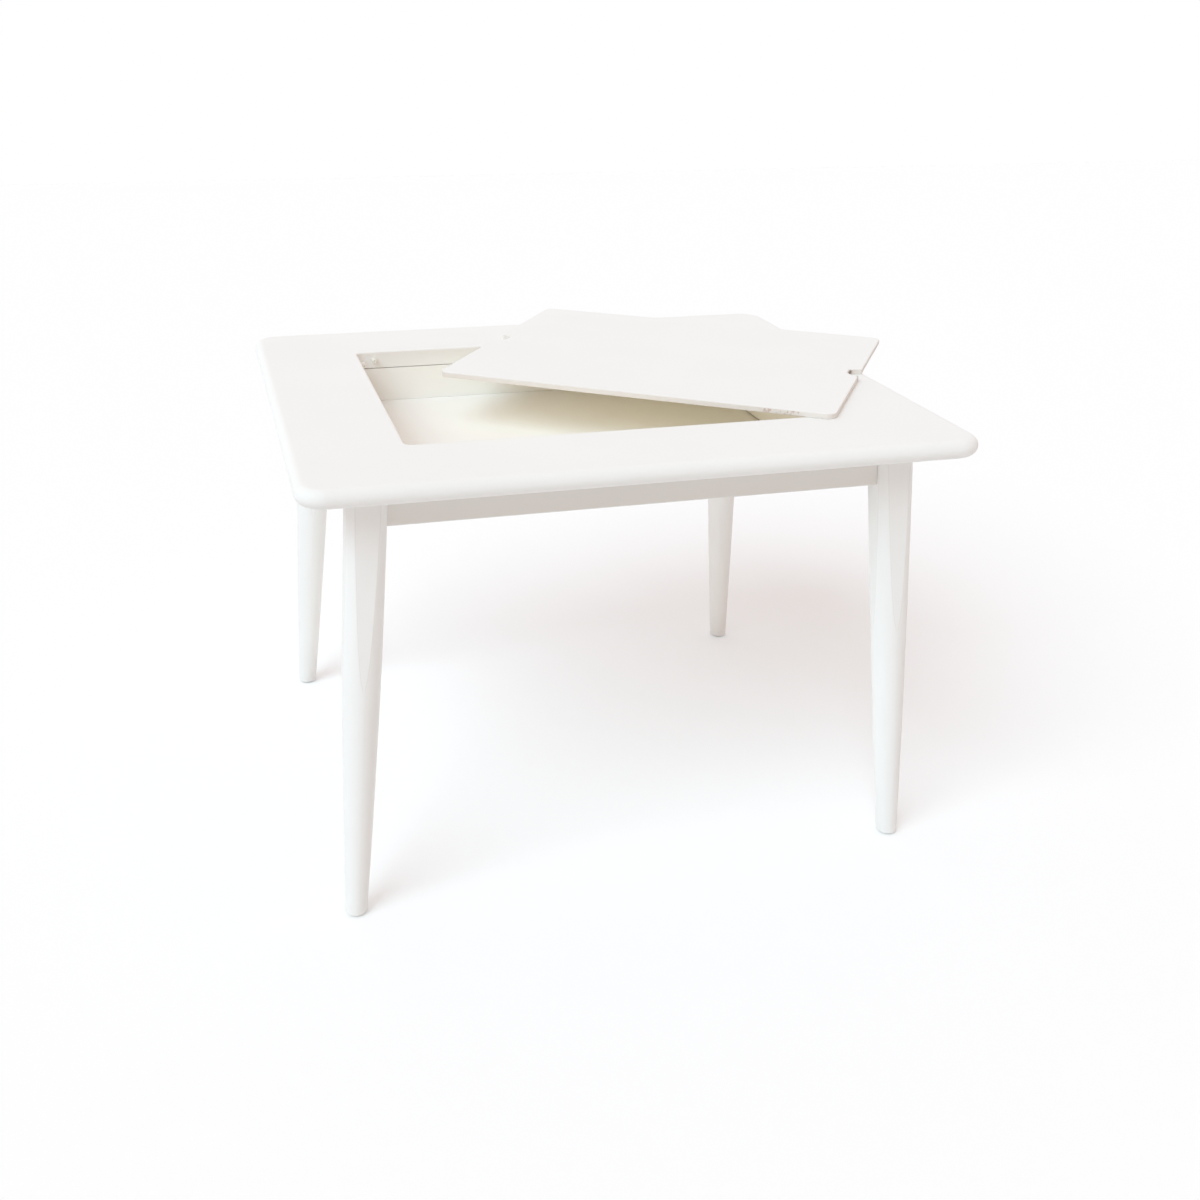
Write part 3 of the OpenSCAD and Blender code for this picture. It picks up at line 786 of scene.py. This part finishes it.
class TABLE_OT_aprons(bpy.types.Operator):
    """Build the four aprons between the legs"""
    bl_idname = "play_table.aprons"
    bl_label = "Aprons"

    def execute(self, context):
        looks = context.scene.table_looks
        sizes = looks.boards
        middle, across, along, up, _ = leg_frame(looks.leg)
        flat = looks.leg.flat_width / 2 + sizes.joint
        # Painted shade: the aprons take a darker, warmer lacquer for the shade under the top's overhang
        material = sprayed_lacquer("sprayed_lacquer_apron_painted_shade", looks.finishes.rails, looks.finishes.thin)

        def to_flat(point, normal, axis):
            """Moves a point along an axis to the leg's tilted flat."""
            away = (point - middle).dot(normal) + flat
            moved = point.copy()
            moved[axis] -= away / normal[axis]
            return moved

        for side, like, sx, sy, axis in SIDES:
            low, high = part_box("apron_" + like)
            normal = (across, along)[axis]
            front, back = low[1 - axis], high[1 - axis]
            section = [(front, low.z), (back, low.z), (back, high.z), (front, high.z)]
            far = [to_flat(p, normal, axis) for p in across_board(section, axis, 0)]
            near = [p.copy() for p in far]
            for p in near:
                p[axis] *= -1
            points, faces = skin([near, far])
            mesh = eased_board("apron_board_" + side, mirrored(points, sx, sy), faces, [
                (sizes.apron_lower, lambda e: all(v.co.z < low.z + SAME_LENGTH for v in e.verts)),
                (sizes.apron_upright, lambda e: any(v.co.z < high.z - SAME_LENGTH for v in e.verts)),
            ])
            add_piece("apron_board_" + side, mesh, material, nodes=["apron_" + side])
        return {"FINISHED"}


class TABLE_OT_box(bpy.types.Operator):
    """Build the storage box's walls and its bottom panel"""
    bl_idname = "play_table.box"
    bl_label = "Storage box"

    def execute(self, context):
        looks = context.scene.table_looks
        sizes = looks.boards
        material = sprayed_lacquer("sprayed_lacquer_inside", looks.finishes.inside, looks.finishes.thin)
        for side, like, sx, sy, axis in SIDES:
            low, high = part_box("box_wall_" + like)
            inner, outer = low[1 - axis], high[1 - axis]
            groove_in, groove_z = inner + sizes.groove_depth, high.z - sizes.groove_height
            section = [(outer, low.z), (outer, high.z), (groove_in, high.z),
                       (groove_in, groove_z), (inner, groove_z)]
            if side == "right":
                gap_in, gap_z = inner + sizes.foot_gap_depth, low.z + sizes.foot_gap
                section += [(inner, gap_z), (gap_in, gap_z), (gap_in, low.z)]
            else:
                section += [(inner, low.z)]
            points, faces = skin([across_board(section, axis, end) for end in (low[axis], high[axis])])
            mesh = eased_board("box_side_" + side, mirrored(points, sx, sy), faces, [
                (sizes.wall_arris, lambda e: any(v.co.z < high.z - SAME_LENGTH for v in e.verts))])
            add_piece("box_side_" + side, mesh, material, nodes=["box_wall_" + side])
        low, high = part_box("box_floor")
        panel = [Vector(c) for c in ((low.x, low.y), (high.x, low.y), (high.x, high.y), (low.x, high.y))]
        points, faces = skin([lifted(panel, z) for z in (low.z, high.z)])
        mesh = eased_board("box_bottom", points, faces, [(sizes.wall_arris, lambda e: True)])
        add_piece("box_bottom", mesh, material, nodes=["box_floor"])
        return {"FINISHED"}


# ---------- small parts, each kind turned, cut or bent once and then repeated ----------

# The record's material slot of all the plated hardware
STEEL = "zinc_steel"

# Each screw stops at another angle, a golden turn on from the last
GOLDEN_TURN = math.radians(137.5)

# Screws, in millimetres: their lengths over all, the length of their tips and the tips' radius
CORNER_SCREW_MM = 30
FLOOR_SCREW_MM = 16
SHEET_SCREW_MM = 14.2
TIP_MM = 3
POINT_MM = 0.25

# A cross recess, in millimetres: half the length and half the width of its arms
RECESS_REACH = 1.75
RECESS_HALF = 0.42
RECESS_ANGLES = [
    math.radians(quarter + degrees)
    for quarter in (0, 90, 180, 270) for degrees in (0, 13.5, 18, 28, 45, 62, 72, 76.5)]

# The leg nut, in millimetres: half its width across the flats, its height, the radius of its faces
# and of its bore, the bore's chamfer, and the slope of its scalloped corners
NUT_FLAT = 6.5
NUT_HIGH = 6.5
NUT_FACE = 6.15
NUT_BORE = 4.1
NUT_CHAMFER = 0.5
NUT_SCALLOP = math.radians(30)

# The leg bolt's thread, in millimetres: the radius of its crest and root, its pitch, the radius of
# its chamfered ends and the length of their chamfer
THREAD_CREST = 4.0
THREAD_ROOT = 3.4
THREAD_PITCH = 1.25
THREAD_END = 2.9
THREAD_CHAMFER = 0.3

# Rounding of the sheet hardware's faces, and the height within which a point lies on a bracket's foot
SHEET_ARRIS = 0.25 * MM
FOOT_BAND = 0.5 * MM


def solids(node):
    """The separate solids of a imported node, each as the list of its points."""
    mesh = frame["nodes"][node].data
    first = {}
    home = [first.setdefault(tuple(round(c, 6) for c in v.co), v.index) for v in mesh.vertices]

    def root(i):
        while home[i] != i:
            i = home[i]
        return i

    for edge in mesh.edges:
        a, b = root(edge.vertices[0]), root(edge.vertices[1])
        home[max(a, b)] = min(a, b)
    groups = {}
    for vertex in mesh.vertices:
        groups.setdefault(root(vertex.index), []).append(vertex.co.copy())
    return list(groups.values())


def corners(points):
    """Lowest and highest corner of a solid's box."""
    return (Vector([min(p[i] for p in points) for i in range(3)]),
            Vector([max(p[i] for p in points) for i in range(3)]))


def driven_place(points, turn, axis=None):
    """The place of a screw, peg or glide: z runs from the middle of its head into the wood, along
    the given axis or else along its longest side."""
    low, high = corners(points)
    middle = (low + high) / 2
    if axis is None:
        axis = max(range(3), key=lambda i: high[i] - low[i])
    into = Vector([1.0 if i == axis else 0.0 for i in range(3)])
    widest = max(points, key=lambda p: (p - middle - into * (p - middle).dot(into)).length)
    if (widest - middle).dot(into) > 0:
        into = -into
    start = middle - into * (high[axis] - low[axis]) / 2
    turned = into.to_track_quat("Z", "Y").to_matrix().to_4x4() @ Matrix.Rotation(turn, 4, "Z")
    return Matrix.Translation(start) @ turned


def leg_hardware_place(points):
    """The place and the length of a bolt, washer or nut: z runs from its inner end out into the leg,
    and x runs up."""
    low, high = corners(points)
    middle = (low + high) / 2
    out = Vector((math.copysign(1, middle.x), math.copysign(1, middle.y), 0)).normalized()
    reach = max((p - middle).dot(out) for p in points)
    up = Vector((0, 0, 1))
    turned = Matrix((up, out.cross(up), out)).transposed().to_4x4()
    return Matrix.Translation(middle - out * reach) @ turned, 2 * reach


def turned_part(profile, angles, loop=False):
    """A turned part: each row of its profile has a radius and a height in millimetres, or a rule that
    gives one by angle."""
    rings = []
    for radius, height in profile:
        ring = []
        for angle in angles:
            r = radius(angle) if callable(radius) else radius
            z = height(angle) if callable(height) else height
            ring.append(Vector((r * math.cos(angle), r * math.sin(angle), z)) * MM)
        rings.append(ring)
    return skin(rings, loop=loop)


def repeated(name, part, places):
    """One mesh of the same part at several places."""
    shape, sides = part
    points = []
    faces = []
    for place in places:
        start = len(points)
        points += [place @ p for p in shape]
        faces += [tuple(start + i for i in side) for side in sides]
    return mesh_from(name, points, faces)


def even_angles(count):
    """Angles that part a full turn evenly."""
    return [FULL_TURN * i / count for i in range(count)]


def cross(share):
    """Outline of a cross recess, drawn in to a share of its size."""
    def radius(angle):
        part = angle % QUARTER_TURN
        part = min(part, QUARTER_TURN - part)
        arm_end = RECESS_REACH / math.cos(part)
        arm_side = RECESS_HALF / math.sin(part) if part > SAME_ANGLE else arm_end
        return share * min(arm_end, arm_side)
    return radius


def pan_screw(length_mm):
    """A pan-head screw with a cross recess, its head 7 mm across and 2.2 mm high."""
    return turned_part([
        (cross(0.4), 1.35), (cross(0.9), 0.25), (cross(1), 0.05), (2.2, 0.1), (2.75, 0.28), (3.15, 0.62),
        (3.4, 1.1), (3.5, 1.65), (3.44, 2.1), (3.35, 2.2), (1.75, 2.2), (1.7, length_mm - TIP_MM),
        (POINT_MM, length_mm)], RECESS_ANGLES)


def countersunk_screw(length_mm):
    """A countersunk screw with a cross recess, its head 6 mm across and flush."""
    return turned_part([
        (cross(0.4), 1.3), (cross(0.95), 0.15), (cross(1), 0.04), (2.6, 0.04), (2.9, 0.1), (2.9, 0.3),
        (1.5, 1.6), (1.45, length_mm - TIP_MM), (POINT_MM, length_mm)], RECESS_ANGLES)


def lid_peg():
    """A nylon peg with a rounded nose, a gate mark in its middle, and its spigot in the wood."""
    return turned_part([
        (0.5, 0.22), (0.8, 0.2), (0.95, 0.02), (1.9, 0.02), (2.6, 0.2), (3.1, 0.55), (3.4, 1.05),
        (3.5, 1.7), (3.5, 7.9), (2.4, 8.0), (2.4, 17.5)], even_angles(40))


def glide_disc():
    """A nylon glide with a rounded rim and a well for the nail's head."""
    return turned_part([
        (1.3, 1.0), (2.9, 1.0), (3.15, 0.1), (3.3, 0.0), (8.1, 0.0), (8.6, 0.15), (8.9, 0.5), (9.0, 1.0),
        (9.0, 1.9), (8.9, 2.0), (1.3, 2.0)], even_angles(48), loop=True)


def glide_nail():
    """A nail with a low domed head that lies deep in the glide."""
    return turned_part([
        (0.7, 0.4), (1.6, 0.5), (2.3, 0.72), (2.6, 0.95), (1.2, 1.0), (1.2, 12.5), (0.2, 13.9)],
        even_angles(24))


def leg_washer():
    """A flat washer 16 mm across, its rims eased by the press."""
    return turned_part([
        (4.3, 0.0), (7.6, 0.0), (7.9, 0.12), (8.0, 0.4), (8.0, 1.3), (7.8, 1.6), (4.3, 1.6)],
        even_angles(48), loop=True)


def leg_nut():
    """A hexagon nut, 13 mm across its flats, its corners turned down to a scallop on both faces."""
    def hexagon(angle):
        side = FULL_TURN / 6
        return NUT_FLAT / math.cos((angle % side) - side / 2)

    def scallop(angle):
        return (hexagon(angle) - NUT_FACE) * math.tan(NUT_SCALLOP)

    rim = NUT_BORE + NUT_CHAMFER
    return turned_part([
        (NUT_BORE, NUT_CHAMFER), (rim, 0.0), (NUT_FACE, 0.0), (hexagon, scallop),
        (hexagon, lambda angle: NUT_HIGH - scallop(angle)), (NUT_FACE, NUT_HIGH), (rim, NUT_HIGH),
        (NUT_BORE, NUT_HIGH - NUT_CHAMFER)], even_angles(72), loop=True)


def leg_bolt(length_mm):
    """The threaded rod of a hanger bolt: a helix, drawn as fine as it turns, with chamfered ends."""
    def thread(z):
        def radius(angle):
            phase = (z / THREAD_PITCH - angle / FULL_TURN) % 1
            fade = min(1, z / THREAD_PITCH, (length_mm - z) / THREAD_PITCH)
            return THREAD_ROOT + (THREAD_CREST - THREAD_ROOT) * fade * abs(1 - 2 * phase)
        return radius

    rows = round(length_mm / THREAD_PITCH * THREAD_STEPS)
    threaded = length_mm - 2 * THREAD_CHAMFER
    profile = [(THREAD_END, 0.0)]
    profile += [(thread(z), z) for z in (THREAD_CHAMFER + threaded * i / rows for i in range(rows + 1))]
    return turned_part(profile + [(THREAD_END, length_mm)], even_angles(28))


def bent_line(path, inwards, radius):
    """A bent path moved in by a distance to its inner side, with its bends rounded."""
    rays = [(b - a).normalized() for a, b in zip(path, path[1:])]
    normals = [Vector((ray.y, -ray.x)) for ray in rays]
    line = [path[0] + normals[0] * inwards]
    for bend, before, after in zip(path[1:-1], normals, normals[1:]):
        middle = bend + (before + after).normalized() * radius / math.cos(before.angle(after) / 2)
        for i in range(BEND_STEPS + 1):
            share = i / BEND_STEPS
            normal = (before * (1 - share) + after * share).normalized()
            line.append(middle - normal * (radius - inwards))
    return line + [path[-1] + normals[-1] * inwards]


def bent_sheet(path, thickness, width, corner, radius):
    """A sheet bent along a path in x and y and as wide as z is high, with its corners rounded."""
    outer = bent_line(path, 0, radius)
    inner = bent_line(path, thickness, radius)
    rings = []
    for far, near in zip(outer, inner):
        rings.append([Vector((p.x, p.y, z)) for p, z in (
            (far, -width / 2), (far, width / 2), (near, width / 2), (near, -width / 2))])
    points, faces = skin(rings)
    mesh = eased_board("bent_sheet", points, faces, [
        (corner, lambda e: abs(e.calc_length() - thickness) < SAME_LENGTH),
        (SHEET_ARRIS, lambda e: True),
    ])
    part = [v.co.copy() for v in mesh.vertices], [tuple(side.vertices) for side in mesh.polygons]
    bpy.data.meshes.remove(mesh)
    return part


def bracket_place(points):
    """The place of an angle bracket: x runs off the panel, y up, and z along the panel."""
    low, high = corners(points)
    along = 0 if high.x - low.x > high.y - low.y else 1
    off = 1 - along
    foot = [p[off] for p in points if p.z < low.z + FOOT_BAND]
    at_low = sum(foot) / len(foot) < (low[off] + high[off]) / 2
    origin = Vector((low.x + high.x, low.y + high.y, 2 * high.z)) / 2
    origin[off] = low[off] if at_low else high[off]
    away = Vector((0, 0, 0))
    away[off] = 1 if at_low else -1
    up = Vector((0, 0, 1))
    turned = Matrix((away, up, away.cross(up))).transposed().to_4x4()
    return Matrix.Translation(origin) @ turned


class TABLE_OT_small_parts(bpy.types.Operator):
    """Build the pegs, the glides and the hardware under the table"""
    bl_idname = "play_table.small_parts"
    bl_label = "Pegs, glides and hardware"

    def driven(self, node, piece, part, material, slot, axis=None):
        """Puts one part in the place of each solid of a node; screws stop at any angle."""
        places = [driven_place(points, GOLDEN_TURN * i, axis) for i, points in enumerate(solids(node))]
        mesh = repeated(piece, part, places)
        add_piece(piece, mesh, material, nodes=[node], sharp_angle=SCREW_EDGE)

    def leg_fixings(self, zinc):
        """The washers, nuts and bolts that hold the legs."""
        for node, piece, part in (("leg_washers", "flat_washers", leg_washer()),
                                  ("leg_nuts", "hexagon_nuts", leg_nut())):
            places = [leg_hardware_place(points)[0] for points in solids(node)]
            add_piece(piece, repeated(piece, part, places), zinc, nodes=[node],
                      sharp_angle=NUT_EDGE)
        bolts = [leg_hardware_place(points) for points in solids("leg_bolts")]
        rod = bolts[0][1] / MM
        mesh = repeated("hanger_bolts", leg_bolt(rod), [place for place, _ in bolts])
        add_piece("hanger_bolts", mesh, zinc, nodes=["leg_bolts"])

    def brackets(self, hardware, zinc):
        """The angle brackets of the aprons and of the box."""
        for node in ("apron_brackets", "box_brackets"):
            group = solids(node)
            low, high = corners(group[0])
            side = high.z - low.z
            width = max(high.x - low.x, high.y - low.y)
            path = [Vector((0, -side)), Vector((0, 0)), Vector((side, 0))]
            part = bent_sheet(path, hardware.sheet, width, hardware.sheet_corner, hardware.bend)
            places = [bracket_place(points) for points in group]
            add_piece("bent_" + node, repeated("bent_" + node, part, places), zinc, nodes=[node])

    def corner_plates(self, hardware, zinc):
        """The bent plates across the apron corners."""
        low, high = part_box("corner_plate_back_right")
        flange = hardware.flange
        path = [Vector((low.x, high.y)), Vector((low.x + flange, high.y)),
                Vector((high.x, low.y + flange)), Vector((high.x, low.y))]
        part = bent_sheet(path, hardware.sheet, high.z - low.z, hardware.sheet_corner, hardware.bend)
        middle = Matrix.Translation((0, 0, (low.z + high.z) / 2))
        for sx, sy in CORNERS:
            name = corner_name(sx, sy)
            place = Matrix.Diagonal((sx, sy, 1, 1)) @ middle
            mesh = repeated("pressed_plate_" + name, part, [place])
            add_piece("pressed_plate_" + name, mesh, zinc, nodes=["corner_plate_" + name])

    def execute(self, context):
        looks = context.scene.table_looks
        nylon = moulded_nylon("moulded_nylon", looks.finishes.nylon)
        zinc = zinc_plate("zinc_plate", looks.finishes.zinc)
        self.driven("lid_pegs", "nylon_lid_pegs", lid_peg(), nylon, "nylon")
        self.driven("foot_glides", "nylon_glides", glide_disc(), nylon, "nylon", axis=2)
        self.driven("foot_glides", "glide_nails", glide_nail(), zinc, STEEL, axis=2)
        corner_screw, floor_screw = countersunk_screw(CORNER_SCREW_MM), countersunk_screw(FLOOR_SCREW_MM)
        self.driven("box_corner_screws", "countersunk_corner_screws", corner_screw, zinc, STEEL)
        self.driven("box_floor_screws", "countersunk_floor_screws", floor_screw, zinc, STEEL)
        self.driven("corner_plate_screws", "pan_screws_plates", pan_screw(SHEET_SCREW_MM), zinc, STEEL)
        self.driven("bracket_screws", "pan_screws_brackets", pan_screw(SHEET_SCREW_MM), zinc, STEEL)
        self.leg_fixings(zinc)
        self.brackets(looks.hardware, zinc)
        self.corner_plates(looks.hardware, zinc)
        return {"FINISHED"}


# ---------- the stage ----------

# The camera, as fitted to the edges in the photograph, in its 1200 by 1200 pixel frame
PICTURE_PX = 1200
CAMERA_PLACE = Vector((-0.424394, -1.442126, 0.909968))
CAMERA_YAW = math.radians(15.222)
CAMERA_PITCH = math.radians(25.747)
CAMERA_ROLL = math.radians(0.714)
FOCAL_PX = 1304.323
CENTRE_PX = (548.197, 623.067)
SENSOR_MM = 36

# Where the key lamp stands and how broad it looks, and where the room is brightest
KEY_FROM = Vector((-0.6, -0.45, 0.75)).normalized()
KEY_SPREAD = math.radians(40)
ROOM_BACK = Vector((0, 0.77, -0.64)).normalized()

# The fills: their colours, how much of the opening or the stand they span, how far the box's two lie
# to the right, how far each stands off the face behind it, and what share of the lower one's power
# the upper one has
FILL_COLOUR = (1.0, 0.85, 0.53)
UNDER_COLOUR = (0.88, 0.96, 0.95)
FILL_SHARE = 0.85
FILL_ASIDE = 30 * MM
FILL_OFF = 1 * MM
FILL_DOWN = 0.5

# The floor: half its width in metres, its white for the light that it throws back, and the spare
# that keeps it from looking grey to the camera
FLOOR_REACH = 6.0
FLOOR_WHITE = 0.8
FLOOR_SPARE = 0.01


def seen_straight(tree):
    """1 for rays from the camera and rays that a mirror or a glass passes on, else 0."""
    path = add_node(tree, "ShaderNodeLightPath")
    seen = path.outputs["Is Camera Ray"]
    for other in ("Is Glossy Ray", "Is Transmission Ray"):
        seen = add_node(tree, "ShaderNodeMath", {"operation": "ADD", "use_clamp": True}, {
            0: seen, 1: path.outputs[other]}).outputs[0]
    return seen


class TABLE_OT_stage(bpy.types.Operator):
    """Build the floor, the lamps and the camera"""
    bl_idname = "play_table.stage"
    bl_label = "Stage"

    def camera(self, scene):
        """The camera at the photograph's place and angle."""
        sin_y, cos_y = math.sin(CAMERA_YAW), math.cos(CAMERA_YAW)
        sin_p, cos_p = math.sin(CAMERA_PITCH), math.cos(CAMERA_PITCH)
        ahead = Vector((sin_y * cos_p, cos_y * cos_p, -sin_p))
        right = Vector((cos_y, -sin_y, 0))
        up = right.cross(ahead)
        rolled = right * math.cos(CAMERA_ROLL) + up * math.sin(CAMERA_ROLL)
        upright = up * math.cos(CAMERA_ROLL) - right * math.sin(CAMERA_ROLL)
        turned = Matrix((rolled, upright, -ahead)).transposed().to_4x4()
        lens = bpy.data.cameras.new("camera")
        lens.sensor_width = SENSOR_MM
        lens.lens = FOCAL_PX * SENSOR_MM / PICTURE_PX
        lens.shift_x = (PICTURE_PX / 2 - CENTRE_PX[0]) / PICTURE_PX
        lens.shift_y = (CENTRE_PX[1] - PICTURE_PX / 2) / PICTURE_PX
        seen = bpy.data.objects.new("camera", lens)
        seen.matrix_world = Matrix.Translation(CAMERA_PLACE) @ turned
        scene.collection.objects.link(seen)
        scene.camera = seen

    def floor(self, scene, sizes):
        """A pale floor, white to the camera apart from the shade that the table throws on it."""
        square = [(sx * FLOOR_REACH, sy * FLOOR_REACH, 0)
                  for sx, sy in ((-1, -1), (1, -1), (1, 1), (-1, 1))]
        mesh = bpy.data.meshes.new("floor")
        mesh.from_pydata(square, [], [(0, 1, 2, 3)])
        floor = bpy.data.objects.new("floor", mesh)
        scene.collection.objects.link(floor)
        material = bpy.data.materials.new("matt_floor_paint")
        material.use_nodes = True
        tree = material.node_tree
        output = tree.nodes["Material Output"]
        tree.nodes.remove(tree.nodes["Principled BSDF"])
        seen = seen_straight(tree)
        share = sizes.floor_shade
        shade = overlaid(tree, [FLOOR_WHITE] * 3 + [1], opaque(share), seen)
        matt = add_node(tree, "ShaderNodeBsdfDiffuse", {}, {"Color": shade})
        rest = overlaid(tree, (0, 0, 0, 1), [1 + FLOOR_SPARE - c for c in share] + [1], seen)
        white = add_node(tree, "ShaderNodeEmission", {}, {"Color": rest, "Strength": 1.0})
        both = add_node(tree, "ShaderNodeAddShader", {}, (matt.outputs[0], white.outputs[0]))
        below = add_node(tree, "ShaderNodeNewGeometry").outputs["Backfacing"]
        clear = add_node(tree, "ShaderNodeBsdfTransparent")
        one_sided = add_node(tree, "ShaderNodeMixShader", {}, (below, both.outputs[0], clear.outputs[0]))
        tree.links.new(one_sided.outputs[0], output.inputs["Surface"])
        mesh.materials.append(material)

    def room(self, scene, sizes):
        """Soft light all round, warmer and dimmer in front and above; a plain white to the camera."""
        world = bpy.data.worlds.new("studio")
        scene.world = world
        world.use_nodes = True
        tree = world.node_tree
        output = tree.nodes["World Output"]
        facing = add_node(tree, "ShaderNodeVectorMath", {"operation": "DOT_PRODUCT"}, (
            add_node(tree, "ShaderNodeTexCoord").outputs["Generated"], ROOM_BACK)).outputs["Value"]
        glow = overlaid(tree, opaque(sizes.room_front), opaque(sizes.room_back), facing, (-1, 1))
        lit = add_node(tree, "ShaderNodeBackground", {}, {"Color": glow, "Strength": 1.0})
        white = add_node(tree, "ShaderNodeBackground", {}, {"Color": (1, 1, 1, 1), "Strength": 1.0})
        mixed = add_node(tree, "ShaderNodeMixShader", {}, (
            seen_straight(tree), lit.outputs[0], white.outputs[0]))
        tree.links.new(mixed.outputs[0], output.inputs["Surface"])

    def lamp(self, scene, name, kind, tint, power, back):
        """A lamp at the origin that shines away from the direction at its back."""
        light = bpy.data.lights.new(name, kind)
        light.color = tint
        light.energy = power
        held = bpy.data.objects.new(name, light)
        held.rotation_mode = "QUATERNION"
        held.rotation_quaternion = back.to_track_quat("Z", "Y")
        scene.collection.objects.link(held)
        return light, held

    def lamps(self, scene, sizes):
        """A broad lamp from the upper left, two faint warm fills in the box, one down and one up, and a
        faint cool one under the table. The fills stand for the light that goes to and fro between white
        faces, in the box and between the floor and the table, more often than a render follows it."""
        key, _ = self.lamp(scene, "key", "SUN", sizes.key_colour, sizes.key, KEY_FROM)
        key.angle = KEY_SPREAD
        box_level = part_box("box_floor")[1].z
        opening = PLACES["opening"]
        stand = 2 * PLACES["foot"].to_2d()
        for name, back, place, size, tint, power in (
                ("fill_down", 1, (FILL_ASIDE, 0, TOP_LEVEL - FILL_OFF), opening, FILL_COLOUR,
                 FILL_DOWN * sizes.box_fill),
                ("fill_up", -1, (FILL_ASIDE, 0, box_level + FILL_OFF), opening, FILL_COLOUR,
                 sizes.box_fill),
                ("fill_under", -1, (0, 0, FILL_OFF), stand, UNDER_COLOUR, sizes.under_fill)):
            fill, held = self.lamp(scene, name, "AREA", tint, power, Vector((0, 0, back)))
            fill.shape = "RECTANGLE"
            fill.size, fill.size_y = size * FILL_SHARE
            held.location = place
            held.visible_camera = False
            held.visible_glossy = False

    def execute(self, context):
        scene = context.scene
        sizes = scene.table_looks.stage
        scene.view_settings.view_transform = "Standard"
        self.camera(scene)
        self.floor(scene, sizes)
        self.room(scene, sizes)
        self.lamps(scene, sizes)
        return {"FINISHED"}


OPERATORS = [TABLE_OT_top, TABLE_OT_lid, TABLE_OT_legs, TABLE_OT_aprons, TABLE_OT_box,
             TABLE_OT_small_parts, TABLE_OT_stage]
GROUPS = [TopSizes, LidSizes, LegSizes, BoardSizes, HardwareSizes, Finishes, StageSizes, TableLooks]


class TABLE_PT_panel(bpy.types.Panel):
    """Lists the sizes and colours, and the steps that build the table"""
    bl_idname = "TABLE_PT_panel"
    bl_label = "Play table"
    bl_space_type = "VIEW_3D"
    bl_region_type = "UI"
    bl_category = "Play table"

    def draw(self, context):
        looks = context.scene.table_looks
        for group, kind in zip(TableLooks.__annotations__, GROUPS):
            column = self.layout.box().column()
            column.label(text=TableLooks.bl_rna.properties[group].name)
            for size in kind.__annotations__:
                column.prop(getattr(looks, group), size)
        for step in OPERATORS:
            self.layout.operator(step.bl_idname, text=step.bl_label)


def register():
    """Makes the sizes, the steps and the panel known."""
    for made in [*GROUPS, *OPERATORS, TABLE_PT_panel]:
        bpy.utils.register_class(made)
    bpy.types.Scene.table_looks = PointerProperty(type=TableLooks)


def unregister():
    """Takes back what register made known."""
    del bpy.types.Scene.table_looks
    for made in reversed([*GROUPS, *OPERATORS, TABLE_PT_panel]):
        bpy.utils.unregister_class(made)


def main():
    """Builds the table and its stage."""
    register()
    bpy.ops.play_table.top()
    bpy.ops.play_table.lid()
    bpy.ops.play_table.legs()
    bpy.ops.play_table.aprons()
    bpy.ops.play_table.box()
    bpy.ops.play_table.small_parts()
    bpy.ops.play_table.stage()


if __name__ == "__main__":
    main()
